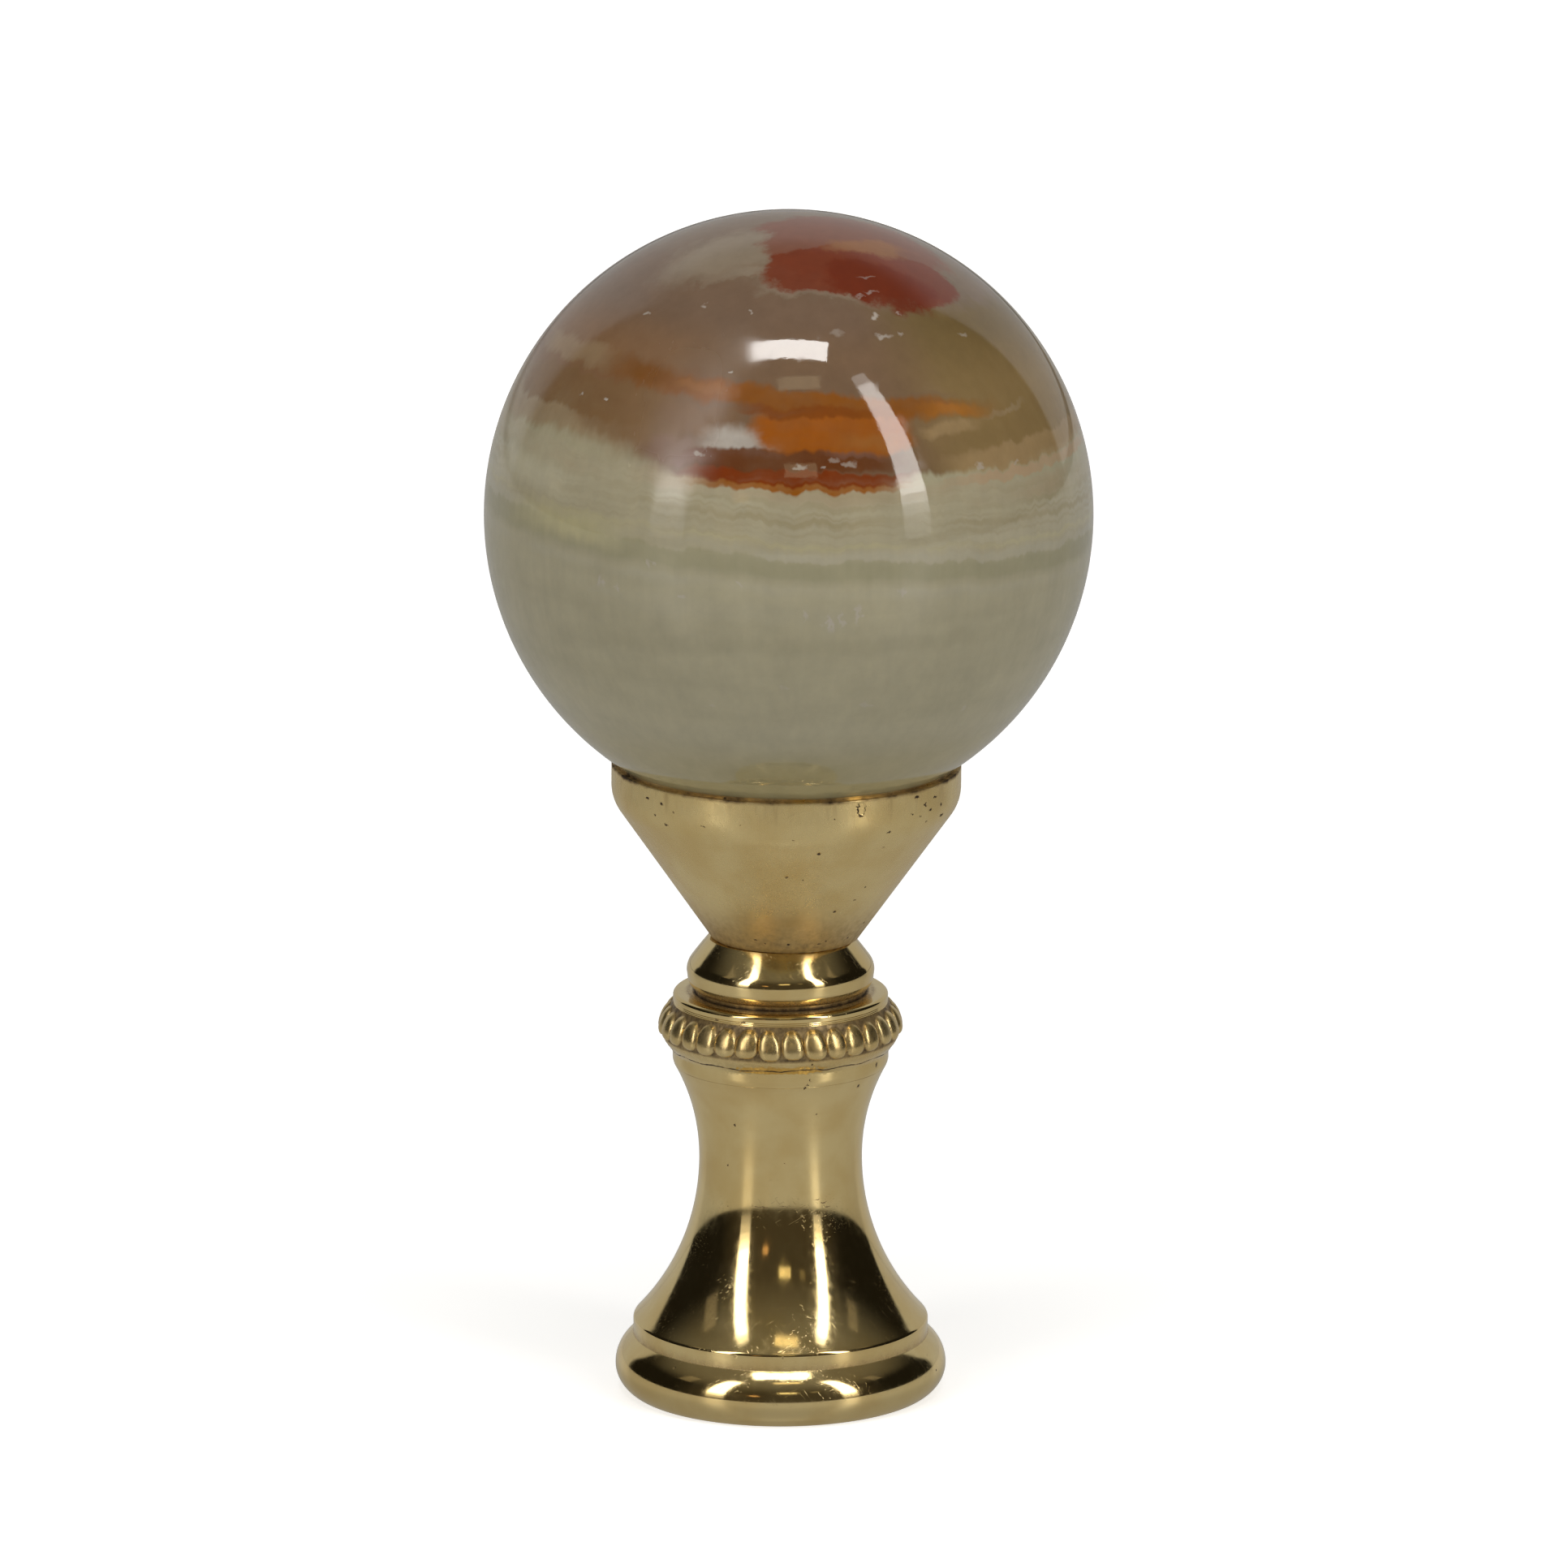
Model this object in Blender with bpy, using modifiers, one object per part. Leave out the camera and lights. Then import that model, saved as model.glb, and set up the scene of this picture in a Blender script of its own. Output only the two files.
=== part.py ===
"""A lamp finial: a polished onyx ball seated in a turned brass cup, which sits on a cast brass stem.

The stem has a beaded collar, a waisted shaft, a bell and a rolled foot, and is tapped from below
for the stud of a lamp harp. It stands on its foot at the origin, +Z up, in metres.
"""

import math

import bmesh
import bpy
from mathutils import Matrix, Vector

MM = 0.001

# Fits between the pieces
JOINT_GAP = 0.2 * MM            # clear space where one piece seats on another
CUP_OFFSET = 0.25 * MM          # the cup is fixed this far to the right of the stem's axis
CUP_LEAN = math.radians(0.5)    # and leans to the same side

# Onyx ball
BALL_D = 35.0 * MM
BALL_SEGMENTS = 48
BALL_RINGS = 24

# Brass cup
CUP_RIM_D = 20.2 * MM
CUP_RIM_LAND = 0.15 * MM        # width of the rim's flat top
CUP_BAND_H = 1.25 * MM          # upright band under the rim
CUP_SHOULDER_R = 2.4 * MM       # rounding between band and cone
CUP_FOOT_D = 8.6 * MM
CUP_H = 10.3 * MM               # from its foot to its rim

# Foot: a flattened roll standing on a flat ring
FOOT_D = 19.3 * MM
ROLL_DEPTH = 1.96 * MM          # how far the roll swells outwards
ROLL_RISE = 1.91 * MM           # how far it swells upwards
ROLL_LINE_Z = 1.48 * MM         # height of its widest line

# Bell, waist and flare
LIP_D = 17.2 * MM               # upright lip between roll and bell
LIP_ROUND = 0.32 * MM
LIP_H = 1.07 * MM               # from the crease at the roll to the bell's edge
BELL_CURVE_R = 14.0 * MM
WAIST_D = 9.48 * MM
FLARE_CURVE_R = 11.8 * MM
FLARE_ROUND = 0.8 * MM          # rounding from the flare to the collar drum

# Collar drum and its ring of beads
DRUM_D = 12.56 * MM
BEAD_COUNT = 32
BEAD_RING_D = 12.9 * MM         # through the beads' centres
BEAD_OUT = 0.6 * MM             # half sizes of one bead
BEAD_ACROSS = 0.47 * MM
BEAD_UP = 0.72 * MM
BEAD_GROOVE_DEPTH = 0.25 * MM
BEAD_GROOVE_H = 1.24 * MM
BEAD_LINE_UP = 1.9 * MM         # from the drum's lower end to the beads' line
COLLAR_UP = 1.95 * MM           # from the beads' line to the shelf
COLLAR_ROUND = 0.25 * MM

# Neck bead on the shelf, which carries the cup
NECK_ROOT_D = 10.0 * MM
NECK_D = 10.84 * MM
NECK_LINE_UP = 0.91 * MM        # from the shelf to the widest line
NECK_TOP_D = 8.4 * MM
NECK_CENTRE_D = 5.2 * MM        # where the upper curve is centred
NECK_TOP_UP = 2.2 * MM          # from the widest line to the flat top

# Underside: a shallow recess and the tapped hole
RECESS_D = 13.6 * MM
RECESS_DEPTH = 1.1 * MM
RECESS_DRAFT = 0.5 * MM
TAP_D = 6.35 * MM               # a quarter inch, nominal
TAP_CHAMFER = 0.6 * MM
TAP_DEPTH = 12.0 * MM           # from the underside to the end of the full bore
TAP_POINT_H = 1.6 * MM          # drill point above it

ROUND_STEPS = 40                # facets round every turned piece
MERGE = 0.00001                 # below the shortest profile step


def clear_scene():
    for item in list(bpy.data.objects):
        bpy.data.objects.remove(item, do_unlink=True)


def new_collection(name):
    group = bpy.data.collections.new(name)
    bpy.context.scene.collection.children.link(group)
    return group


def plain_material(name, colour, roughness, metallic):
    material = bpy.data.materials.new(name)
    material.use_nodes = True
    shader = material.node_tree.nodes["Principled BSDF"]
    shader.inputs["Base Color"].default_value = (*colour, 1.0)
    shader.inputs["Roughness"].default_value = roughness
    shader.inputs["Metallic"].default_value = metallic
    return material


def curve(centre_r, centre_z, half_r, half_z, start, end, steps):
    """Points of an elliptical arc in the profile plane, from one angle in radians to another."""
    points = []
    for step in range(steps + 1):
        angle = start + (end - start) * step / steps
        points.append((centre_r + half_r * math.cos(angle), centre_z + half_z * math.sin(angle)))
    return points


def without_repeats(profile):
    kept = [profile[0]]
    for point in profile[1:]:
        if math.dist(point, kept[-1]) > 2 * MERGE:
            kept.append(point)
    return kept


def turned(name, profile, material, group):
    """A solid of revolution about Z. The profile starts and ends on the axis and runs down its outer side."""
    profile = without_repeats(profile)
    mesh = bpy.data.meshes.new(name)
    edges = [(i, i + 1) for i in range(len(profile) - 1)]
    mesh.from_pydata([(radius, 0.0, height) for radius, height in profile], edges, [])
    mesh.materials.append(material)
    piece = bpy.data.objects.new(name, mesh)
    group.objects.link(piece)
    screw = piece.modifiers.new("turning", "SCREW")
    screw.axis = "Z"
    screw.angle = math.tau
    screw.steps = ROUND_STEPS
    screw.render_steps = ROUND_STEPS
    screw.use_merge_vertices = True
    screw.merge_threshold = MERGE
    screw.use_smooth_shade = True
    return piece


def ellipse_height(reach, half_r, half_z):
    """Height of an ellipse above its centre at this distance out from the centre."""
    return half_z * math.sqrt(1 - (reach / half_r) ** 2)


class StemSizes:
    """Radii and heights along the stem, stacked from its underside."""

    def __init__(self):
        self.roll_centre = FOOT_D / 2 - ROLL_DEPTH
        self.foot_edge = self.roll_centre + ROLL_DEPTH * math.sqrt(1 - (ROLL_LINE_Z / ROLL_RISE) ** 2)
        self.lip = LIP_D / 2
        self.crease_z = ROLL_LINE_Z + ellipse_height(self.lip - self.roll_centre, ROLL_DEPTH, ROLL_RISE)
        self.waist = WAIST_D / 2

        # The bell's arc leaves the lip's rounding where both slope alike.
        lip_centre = self.lip - LIP_ROUND
        self.bell_turn = math.acos(
            (self.waist + BELL_CURVE_R - lip_centre) / (BELL_CURVE_R + LIP_ROUND)
        )
        self.lip_centre_z = self.crease_z + LIP_H - LIP_ROUND * math.sin(self.bell_turn)
        self.waist_z = self.lip_centre_z + (BELL_CURVE_R + LIP_ROUND) * math.sin(self.bell_turn)

        # The flare runs into the drum the same way.
        self.drum = DRUM_D / 2
        drum_centre = self.drum - FLARE_ROUND
        self.flare_turn = math.acos(
            (self.waist + FLARE_CURVE_R - drum_centre) / (FLARE_CURVE_R + FLARE_ROUND)
        )
        self.drum_z = self.waist_z + (FLARE_CURVE_R + FLARE_ROUND) * math.sin(self.flare_turn)

        self.bead_z = self.drum_z + BEAD_LINE_UP
        self.shelf_z = self.bead_z + COLLAR_UP
        self.neck_z = self.shelf_z + NECK_LINE_UP
        self.top_z = self.neck_z + NECK_TOP_UP


def neck_profile(s):
    """From the axis at the flat top, down the neck bead to its root on the shelf."""
    centre = NECK_CENTRE_D / 2
    half_r = NECK_D / 2 - centre
    end = math.acos((NECK_TOP_D / 2 - centre) / half_r)
    half_z = NECK_TOP_UP / math.sin(end)
    upper = curve(centre, s.neck_z, half_r, half_z, end, 0.0, 5)
    root = NECK_ROOT_D / 2
    lower = curve(root, s.neck_z, NECK_D / 2 - root, NECK_LINE_UP, 0.0, -math.pi / 2, 3)
    return [(0.0, s.top_z), *upper, *lower[1:]]


def collar_profile(s):
    """The shelf's edge and the drum with the groove that the beads stand in."""
    wall = s.drum - BEAD_GROOVE_DEPTH
    upper = s.bead_z + BEAD_GROOVE_H / 2
    lower = s.bead_z - BEAD_GROOVE_H / 2
    edge = curve(
        s.drum - COLLAR_ROUND, s.shelf_z - COLLAR_ROUND, COLLAR_ROUND, COLLAR_ROUND, math.pi / 2, 0.0, 3
    )
    return [*edge, (s.drum, upper), (wall, upper), (wall, lower), (s.drum, lower)]


def shaft_profile(s):
    """The drum's rounding, the flare, the waist, the bell and the lip."""
    below_drum = curve(
        s.drum - FLARE_ROUND, s.drum_z, FLARE_ROUND, FLARE_ROUND, 0.0, -s.flare_turn, 3
    )
    flare = curve(
        s.waist + FLARE_CURVE_R, s.waist_z, FLARE_CURVE_R, FLARE_CURVE_R,
        math.pi - s.flare_turn, math.pi, 5,
    )
    bell = curve(
        s.waist + BELL_CURVE_R, s.waist_z, BELL_CURVE_R, BELL_CURVE_R,
        math.pi, math.pi + s.bell_turn, 7,
    )
    lip = curve(
        s.lip - LIP_ROUND, s.lip_centre_z, LIP_ROUND, LIP_ROUND, s.bell_turn, 0.0, 3
    )
    return [*below_drum, *flare[1:], *bell[1:], *lip[1:]]


def foot_profile(s):
    """The rolled foot, the underside's ring and recess, and the tapped hole up to the axis."""
    start = math.acos((s.lip - s.roll_centre) / ROLL_DEPTH)
    end = -math.asin(ROLL_LINE_Z / ROLL_RISE)
    roll = curve(s.roll_centre, ROLL_LINE_Z, ROLL_DEPTH, ROLL_RISE, start, end, 8)
    recess = RECESS_D / 2
    bore = TAP_D / 2
    return [
        *roll,
        (recess, 0.0),
        (recess - RECESS_DRAFT, RECESS_DEPTH),
        (bore + TAP_CHAMFER, RECESS_DEPTH),
        (bore, RECESS_DEPTH + TAP_CHAMFER),
        (bore, TAP_DEPTH),
        (0.0, TAP_DEPTH + TAP_POINT_H),
    ]


def bead_ring(s, group):
    """All the beads as one helper, which is joined to the stem."""
    mesh = bpy.data.meshes.new("bead_ring")
    shapes = bmesh.new()
    for index in range(BEAD_COUNT):
        turn = Matrix.Rotation(math.tau * (index + 0.5) / BEAD_COUNT, 4, "Z")
        place = Matrix.Translation(Vector((BEAD_RING_D / 2, 0.0, s.bead_z)))
        size = Matrix.Diagonal((BEAD_OUT, BEAD_ACROSS, BEAD_UP, 1.0))
        bmesh.ops.create_uvsphere(
            shapes, u_segments=8, v_segments=4, radius=1.0, matrix=turn @ place @ size
        )
    shapes.to_mesh(mesh)
    shapes.free()
    ring = bpy.data.objects.new("bead_ring", mesh)
    ring.hide_render = True
    ring.display_type = "WIRE"
    group.objects.link(ring)
    return ring


def make_stem(s, material, group, helpers):
    profile = [*neck_profile(s), *collar_profile(s), *shaft_profile(s), *foot_profile(s)]
    stem = turned("brass_stem", profile, material, group)
    join = stem.modifiers.new("beads", "BOOLEAN")
    join.operation = "UNION"
    join.object = bead_ring(s, helpers)
    return stem


def ball_height():
    """The ball's centre above the cup's foot: it beds on the cup's dish at the rim."""
    seat = BALL_D / 2 + JOINT_GAP
    rim_inside = CUP_RIM_D / 2 - CUP_RIM_LAND
    return CUP_H + math.sqrt(seat ** 2 - rim_inside ** 2)


def cone_turn(foot, shoulder):
    """How far round the shoulder's circle, below level, the straight cone to the foot touches it."""
    reach = math.dist(foot, shoulder)
    towards = math.atan2(foot[1] - shoulder[1], foot[0] - shoulder[0])
    return -(towards + math.acos(CUP_SHOULDER_R / reach))


def make_cup(material, group, carrier):
    """The cup, modelled with its foot at its own origin."""
    rim = CUP_RIM_D / 2
    centre = ball_height()
    seat = BALL_D / 2 + JOINT_GAP
    dish_turn = math.asin((rim - CUP_RIM_LAND) / seat)
    dish = curve(0.0, centre, seat, seat, -math.pi / 2, dish_turn - math.pi / 2, 5)
    shoulder = (rim - CUP_SHOULDER_R, CUP_H - CUP_BAND_H)
    foot = (CUP_FOOT_D / 2, 0.0)
    shoulder_arc = curve(
        *shoulder, CUP_SHOULDER_R, CUP_SHOULDER_R, 0.0, -cone_turn(foot, shoulder), 5
    )
    profile = [(0.0, centre - seat), *dish[1:], (rim, CUP_H), *shoulder_arc, foot, (0.0, 0.0)]
    cup = turned("brass_cup", profile, material, group)
    cup.parent = carrier
    return cup


def make_ball(material, group, carrier):
    bpy.ops.mesh.primitive_uv_sphere_add(
        segments=BALL_SEGMENTS, ring_count=BALL_RINGS, radius=BALL_D / 2
    )
    ball = bpy.context.object
    ball.name = "onyx_ball"
    ball.data.name = "onyx_ball"
    ball.data.materials.append(material)
    ball.data.shade_smooth()
    for holder in list(ball.users_collection):
        holder.objects.unlink(ball)
    group.objects.link(ball)
    ball.parent = carrier
    ball.location = (0.0, 0.0, ball_height())
    return ball


def cup_carrier(s, group):
    """An empty on the neck's flat top, off centre and leaning as the cup was fixed."""
    carrier = bpy.data.objects.new("cup_seat", None)
    carrier.empty_display_size = 5 * MM
    carrier.location = (CUP_OFFSET, 0.0, s.top_z + JOINT_GAP)
    carrier.rotation_euler = (0.0, CUP_LEAN, 0.0)
    group.objects.link(carrier)
    return carrier


def main():
    clear_scene()
    finial = new_collection("lamp_finial")
    helpers = new_collection("shaping_helpers")
    onyx = plain_material("onyx", (0.36, 0.33, 0.22), 0.08, 0.0)
    satin_brass = plain_material("satin_brass", (0.80, 0.62, 0.32), 0.32, 1.0)
    polished_brass = plain_material("polished_brass", (0.83, 0.66, 0.33), 0.12, 1.0)
    sizes = StemSizes()
    make_stem(sizes, polished_brass, finial, helpers)
    carrier = cup_carrier(sizes, finial)
    make_cup(satin_brass, finial, carrier)
    make_ball(onyx, finial, carrier)


main()
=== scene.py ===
"""Looks of the lamp finial: a banded onyx ball in a satin brass cup, on a polished brass stem."""

import math
import random

import bpy
from mathutils import Euler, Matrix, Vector, noise


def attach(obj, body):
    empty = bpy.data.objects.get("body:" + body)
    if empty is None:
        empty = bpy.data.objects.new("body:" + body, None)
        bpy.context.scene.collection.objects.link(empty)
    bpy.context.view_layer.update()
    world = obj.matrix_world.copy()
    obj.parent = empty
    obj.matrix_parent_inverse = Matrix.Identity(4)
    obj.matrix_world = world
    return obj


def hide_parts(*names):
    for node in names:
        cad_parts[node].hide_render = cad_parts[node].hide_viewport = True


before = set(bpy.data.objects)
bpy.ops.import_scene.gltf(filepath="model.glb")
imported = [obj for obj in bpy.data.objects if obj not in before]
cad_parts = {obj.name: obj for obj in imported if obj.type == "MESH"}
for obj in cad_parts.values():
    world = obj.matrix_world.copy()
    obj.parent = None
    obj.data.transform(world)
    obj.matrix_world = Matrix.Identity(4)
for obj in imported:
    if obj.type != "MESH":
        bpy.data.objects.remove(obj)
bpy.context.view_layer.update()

# Stem
# One brass casting, turned and polished: a neck bead under the cup, a flat collar over a ring of
# thirty-two cast beads, a waisted shaft, a bell and a rolled foot. It is tapped from below for the
# quarter-inch stud of a lamp harp. Its grooves hold dark brown polish and dirt.
MM = 0.001

NECK_TOP = (4.2, 26.97)         # radius and height of the neck's upper edge
NECK_FACE = (4.05, 27.0)        # edge of the flat face inside it
NECK_CONE_R = 25.0              # the nearly straight cone below it
NECK_CONE_TILTS = (40.0, 36.2)
NECK_ROUND_R = 1.15
NECK_D = 10.8
NECK_STRAIGHT = 0.3
NECK_ROOT_R = 0.85
NECK_ROOT_TILT = -60.0
SHELF_Z = 23.72
COLLAR_D = 12.48
COLLAR_ROUND = 0.22
TOOL_MARKS = (23.30, 23.20, 23.11)
TOOL_MARK_DEPTH = 0.018
TOOL_MARK_HALF = 0.025          # half its width

BEADS = 32
BEAD_ROOT = 6.27
BEAD_BAND = (20.25, 23.08)      # lower and upper end of the rounded band that the beads stand on
BAND_LINE_Z = 21.35             # its widest place
BAND_OUT = 0.61
BEAD_LINE_Z = 22.09
BEAD_TALL = 0.84
BEAD_WIDE = 0.62
BEAD_OUT = 0.33
BEAD_ROWS = 48
BEAD_STEPS = 24                 # points round each bead
BEAD_TAPER = 0.20               # how much narrower a bead is at its top
BEAD_SQUARE = (2.6, 2.8)        # how square its outline is, across and along
BEAD_FULL = 0.55                # how full its face is: lower is fuller
BEAD_ROUGH = 0.014              # unevenness of the cast ground between the beads

WAIST = (4.74, 13.80)
FLARE_R = 11.8
FLARE_TILT = 28.6
DRUM_LOW_Z = 19.84
DRUM_ROUND = 0.8
BELL_R = 14.0
BELL_TILT = 43.08
LIP_D = 17.2
LIP_ROUND = 0.32
CREASE_Z = 3.21
ROLL_TOP_R = 5.5                # the roll starts as a gentle slope out of the crease
ROLL_TOP_TILTS = (50.0, 43.0)
ROLL_SIDE_R = 2.096
ROLL_UNDER_R = 1.57
ROLL_UNDER_TILT = -57.2
RECESS_D = 13.6
RECESS_DEPTH = 1.1
RECESS_DRAFT = 0.5
RECESS_EDGE = 0.15              # bevels at its mouth and its floor
TAP_ROOT_D = 6.35
TAP_CREST_D = 5.33
TAP_PITCH = 25.4 / 27
TAP_CHAMFER = 0.6
TAP_DEPTH = 12.0
TAP_POINT_H = 1.6
TAP_ROWS_PER_TURN = 8
TAP_LEAD_IN = 1.0               # the thread starts and ends over these heights
TAP_RUN_OUT = (1.2, 0.4)

STEM_STEPS = 192
RNG = random.Random(32)


def swelling(centre, radius, start, end, step=3.0):
    """Profile points on an outward curve. Angles are the surface's tilt up from level, in degrees."""
    count = max(2, math.ceil(abs(end - start) / step))
    tilts = [math.radians(start + (end - start) * i / count) for i in range(count + 1)]
    return [(centre[0] + radius * math.cos(t), centre[1] + radius * math.sin(t)) for t in tilts]


def hollow(centre, radius, start, end, step=2.0):
    """Profile points on an inward curve, with its centre outside the piece."""
    return swelling(centre, -radius, start, end, step)


def curve_from(point, radius, start, end, step=3.0):
    """An outward curve that starts at this point."""
    tilt = math.radians(start)
    centre = (point[0] - radius * math.cos(tilt), point[1] - radius * math.sin(tilt))
    return swelling(centre, radius, start, end, step)


def straight(start, end, count):
    return [
        (start[0] + (end[0] - start[0]) * i / count, start[1] + (end[1] - start[1]) * i / count)
        for i in range(1, count)
    ]


def ring(radius, height, count):
    """One turned ring of points. The radius and the height may be functions of the turn in radians."""
    points = []
    for index in range(count):
        turn = math.tau * index / count
        r = radius(turn) if callable(radius) else radius
        z = height(turn) if callable(height) else height
        points.append(Vector((r * math.sin(turn), -r * math.cos(turn), z)) * MM)
    return points


def skin_between(upper, lower, first_upper, first_lower):
    """Faces between two rings, of the same count, of one point, or four times as fine."""
    a, b = len(upper), len(lower)
    faces = []
    if a == 1:
        return [(first_upper, first_lower + i, first_lower + (i + 1) % b) for i in range(b)]
    if b == 1:
        return [(first_upper + (i + 1) % a, first_upper + i, first_lower) for i in range(a)]
    if a == b:
        for i in range(a):
            j = (i + 1) % a
            faces.append((first_upper + j, first_upper + i, first_lower + i, first_lower + j))
        return faces
    coarse, fine = (first_upper, first_lower) if a < b else (first_lower, first_upper)
    count, flip = min(a, b), a > b
    for i in range(count):
        j = (i + 1) % count
        f = [fine + (4 * i + k) % (4 * count) for k in range(5)]
        fan = [
            (coarse + i, f[0], f[1]), (coarse + i, f[1], f[2]), (coarse + j, coarse + i, f[2]),
            (coarse + j, f[2], f[3]), (coarse + j, f[3], f[4]),
        ]
        faces += [tuple(reversed(face)) if flip else face for face in fan]
    return faces


def turned_piece(name, rings, dirt_and_shade, sharp=30.0):
    """A closed turned mesh from rings of points, listed from the top axis outside to the lower axis.

    dirt_and_shade gives each point's share of grime, 0 to 1, kept as the vertex value that the finish
    reads; on the cup it also holds painted shade above the foot.
    """
    points = []
    faces = []
    starts = []
    for points_round in rings:
        starts.append(len(points))
        points += points_round
    for i in range(len(rings) - 1):
        faces += skin_between(rings[i], rings[i + 1], starts[i], starts[i + 1])
    mesh = bpy.data.meshes.new(name)
    mesh.from_pydata(points, [], faces)
    mesh.validate()
    mesh.shade_smooth()
    mesh.set_sharp_from_angle(angle=math.radians(sharp))
    layer = mesh.attributes.new("dirt_and_shade", "FLOAT", "POINT")
    layer.data.foreach_set("value", [dirt_and_shade(point / MM) for point in points])
    piece = bpy.data.objects.new(name, mesh)
    bpy.context.scene.collection.objects.link(piece)
    return piece


def neck_rings():
    cone = curve_from(NECK_TOP, NECK_CONE_R, *NECK_CONE_TILTS, 0.5)
    side = curve_from(cone[-1], NECK_ROUND_R, NECK_CONE_TILTS[1], 0.0)
    reach = NECK_D / 2
    straight_low = (reach, side[-1][1] - NECK_STRAIGHT)
    root = curve_from(straight_low, NECK_ROOT_R, 0.0, NECK_ROOT_TILT)
    crevice = (root[-1][0], SHELF_Z)
    return [NECK_FACE, *cone, *side[1:], *root, crevice]


def collar_rings(crevice):
    edge_centre = (COLLAR_D / 2 - COLLAR_ROUND, SHELF_Z - COLLAR_ROUND)
    edge = swelling(edge_centre, COLLAR_ROUND, 90.0, 0.0, 6.0)
    wall = []
    for mark in TOOL_MARKS:
        wall.append((COLLAR_D / 2, mark + TOOL_MARK_HALF))
        wall.append((COLLAR_D / 2 - TOOL_MARK_DEPTH, mark))
        wall.append((COLLAR_D / 2, mark - TOOL_MARK_HALF))
    return [*straight(crevice, edge[0], 5), *edge, *wall]


def bead_band(height):
    """Radius of the rounded band under the beads."""
    low, top = BEAD_BAND
    if height > BAND_LINE_Z:
        swell = 1 - ((height - BAND_LINE_Z) / (top - BAND_LINE_Z)) ** 1.6
    else:
        swell = math.cos((BAND_LINE_Z - height) / (BAND_LINE_Z - low) * math.pi / 2) ** 1.2
    return BEAD_ROOT + BAND_OUT * swell


def smooth_step(low, high, value):
    share = min(1.0, max(0.0, (value - low) / (high - low)))
    return share * share * (3 - 2 * share)


BEAD_SHAPES = [
    {
        "aside": RNG.uniform(-0.05, 0.05),
        "wide": BEAD_WIDE * RNG.uniform(0.96, 1.08),
        "tall": BEAD_TALL * RNG.uniform(0.94, 1.04),
        "up": RNG.uniform(-0.04, 0.04),
        "out": BEAD_OUT * RNG.uniform(0.86, 1.0),
        "lean": RNG.uniform(-0.08, 0.08),
    }
    for _ in range(BEADS)
]


def bead_surface(turn, height):
    """Radius of the beaded band, and how far the point stands up on a bead, 0 to 1.

    Each bead is a worn pear shape, narrower at its top.
    """
    place = turn / math.tau * BEADS
    shape = BEAD_SHAPES[int(place) % BEADS]
    rise = (height - BEAD_LINE_Z - shape["up"]) / shape["tall"]
    pitch = math.tau * BEAD_ROOT / BEADS
    across = (place % 1.0 - 0.5) * pitch + shape["aside"] + shape["lean"] * rise
    wide = shape["wide"] * (1 - BEAD_TAPER * smooth_step(0.1, 1.0, rise))
    room = 1 - (abs(across) / wide) ** BEAD_SQUARE[0] - abs(rise) ** BEAD_SQUARE[1]
    crest = max(0.0, room) ** BEAD_FULL
    rough = noise.noise(Vector((turn * 40.0, height * 6.0, 3.0)))
    rough += 0.5 * noise.noise(Vector((turn * 90.0, height * 16.0, 7.0)))
    return bead_band(height) + shape["out"] * crest + BEAD_ROUGH * rough * (1.2 - crest), crest


def bead_rings():
    """Fine rings over the beaded band, from the collar's wall down to the drum."""
    low, top = BEAD_BAND
    rings = []
    for row in range(BEAD_ROWS + 1):
        height = top + (low - top) * row / BEAD_ROWS
        rings.append(
            ring(lambda turn, z=height: bead_surface(turn, z)[0], height, BEADS * BEAD_STEPS)
        )
    return rings


def shaft_rings():
    below = swelling((BEAD_ROOT - DRUM_ROUND, DRUM_LOW_Z), DRUM_ROUND, 0.0, -FLARE_TILT)
    flare = hollow((WAIST[0] + FLARE_R, WAIST[1]), FLARE_R, -FLARE_TILT, 0.0, 1.0)
    bell = hollow((WAIST[0] + BELL_R, WAIST[1]), BELL_R, 0.0, BELL_TILT, 1.0)
    lip_edge = curve_from(bell[-1], LIP_ROUND, BELL_TILT, 0.0, 5.0)
    lip_edge = [(min(r, LIP_D / 2), z) for r, z in lip_edge]
    return [(BEAD_ROOT, DRUM_LOW_Z + 0.3), *below, *flare, *bell[1:], *lip_edge[1:]]


def foot_rings():
    slope = curve_from((LIP_D / 2, CREASE_Z), ROLL_TOP_R, *ROLL_TOP_TILTS, 1.0)
    side = curve_from(slope[-1], ROLL_SIDE_R, ROLL_TOP_TILTS[1], 0.0)
    under = curve_from(side[-1], ROLL_UNDER_R, 0.0, ROLL_UNDER_TILT)
    ground = [(r, max(z, 0.0)) for r, z in under]
    mouth = RECESS_D / 2
    inner = mouth - RECESS_DRAFT
    return [
        *slope, *side[1:], *ground[1:], (mouth + RECESS_EDGE, 0.0), (mouth, 0.08),
        (inner, RECESS_DEPTH - RECESS_EDGE), (inner - RECESS_EDGE, RECESS_DEPTH),
        (TAP_ROOT_D / 2 + TAP_CHAMFER + 0.1, RECESS_DEPTH),
    ]


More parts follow.
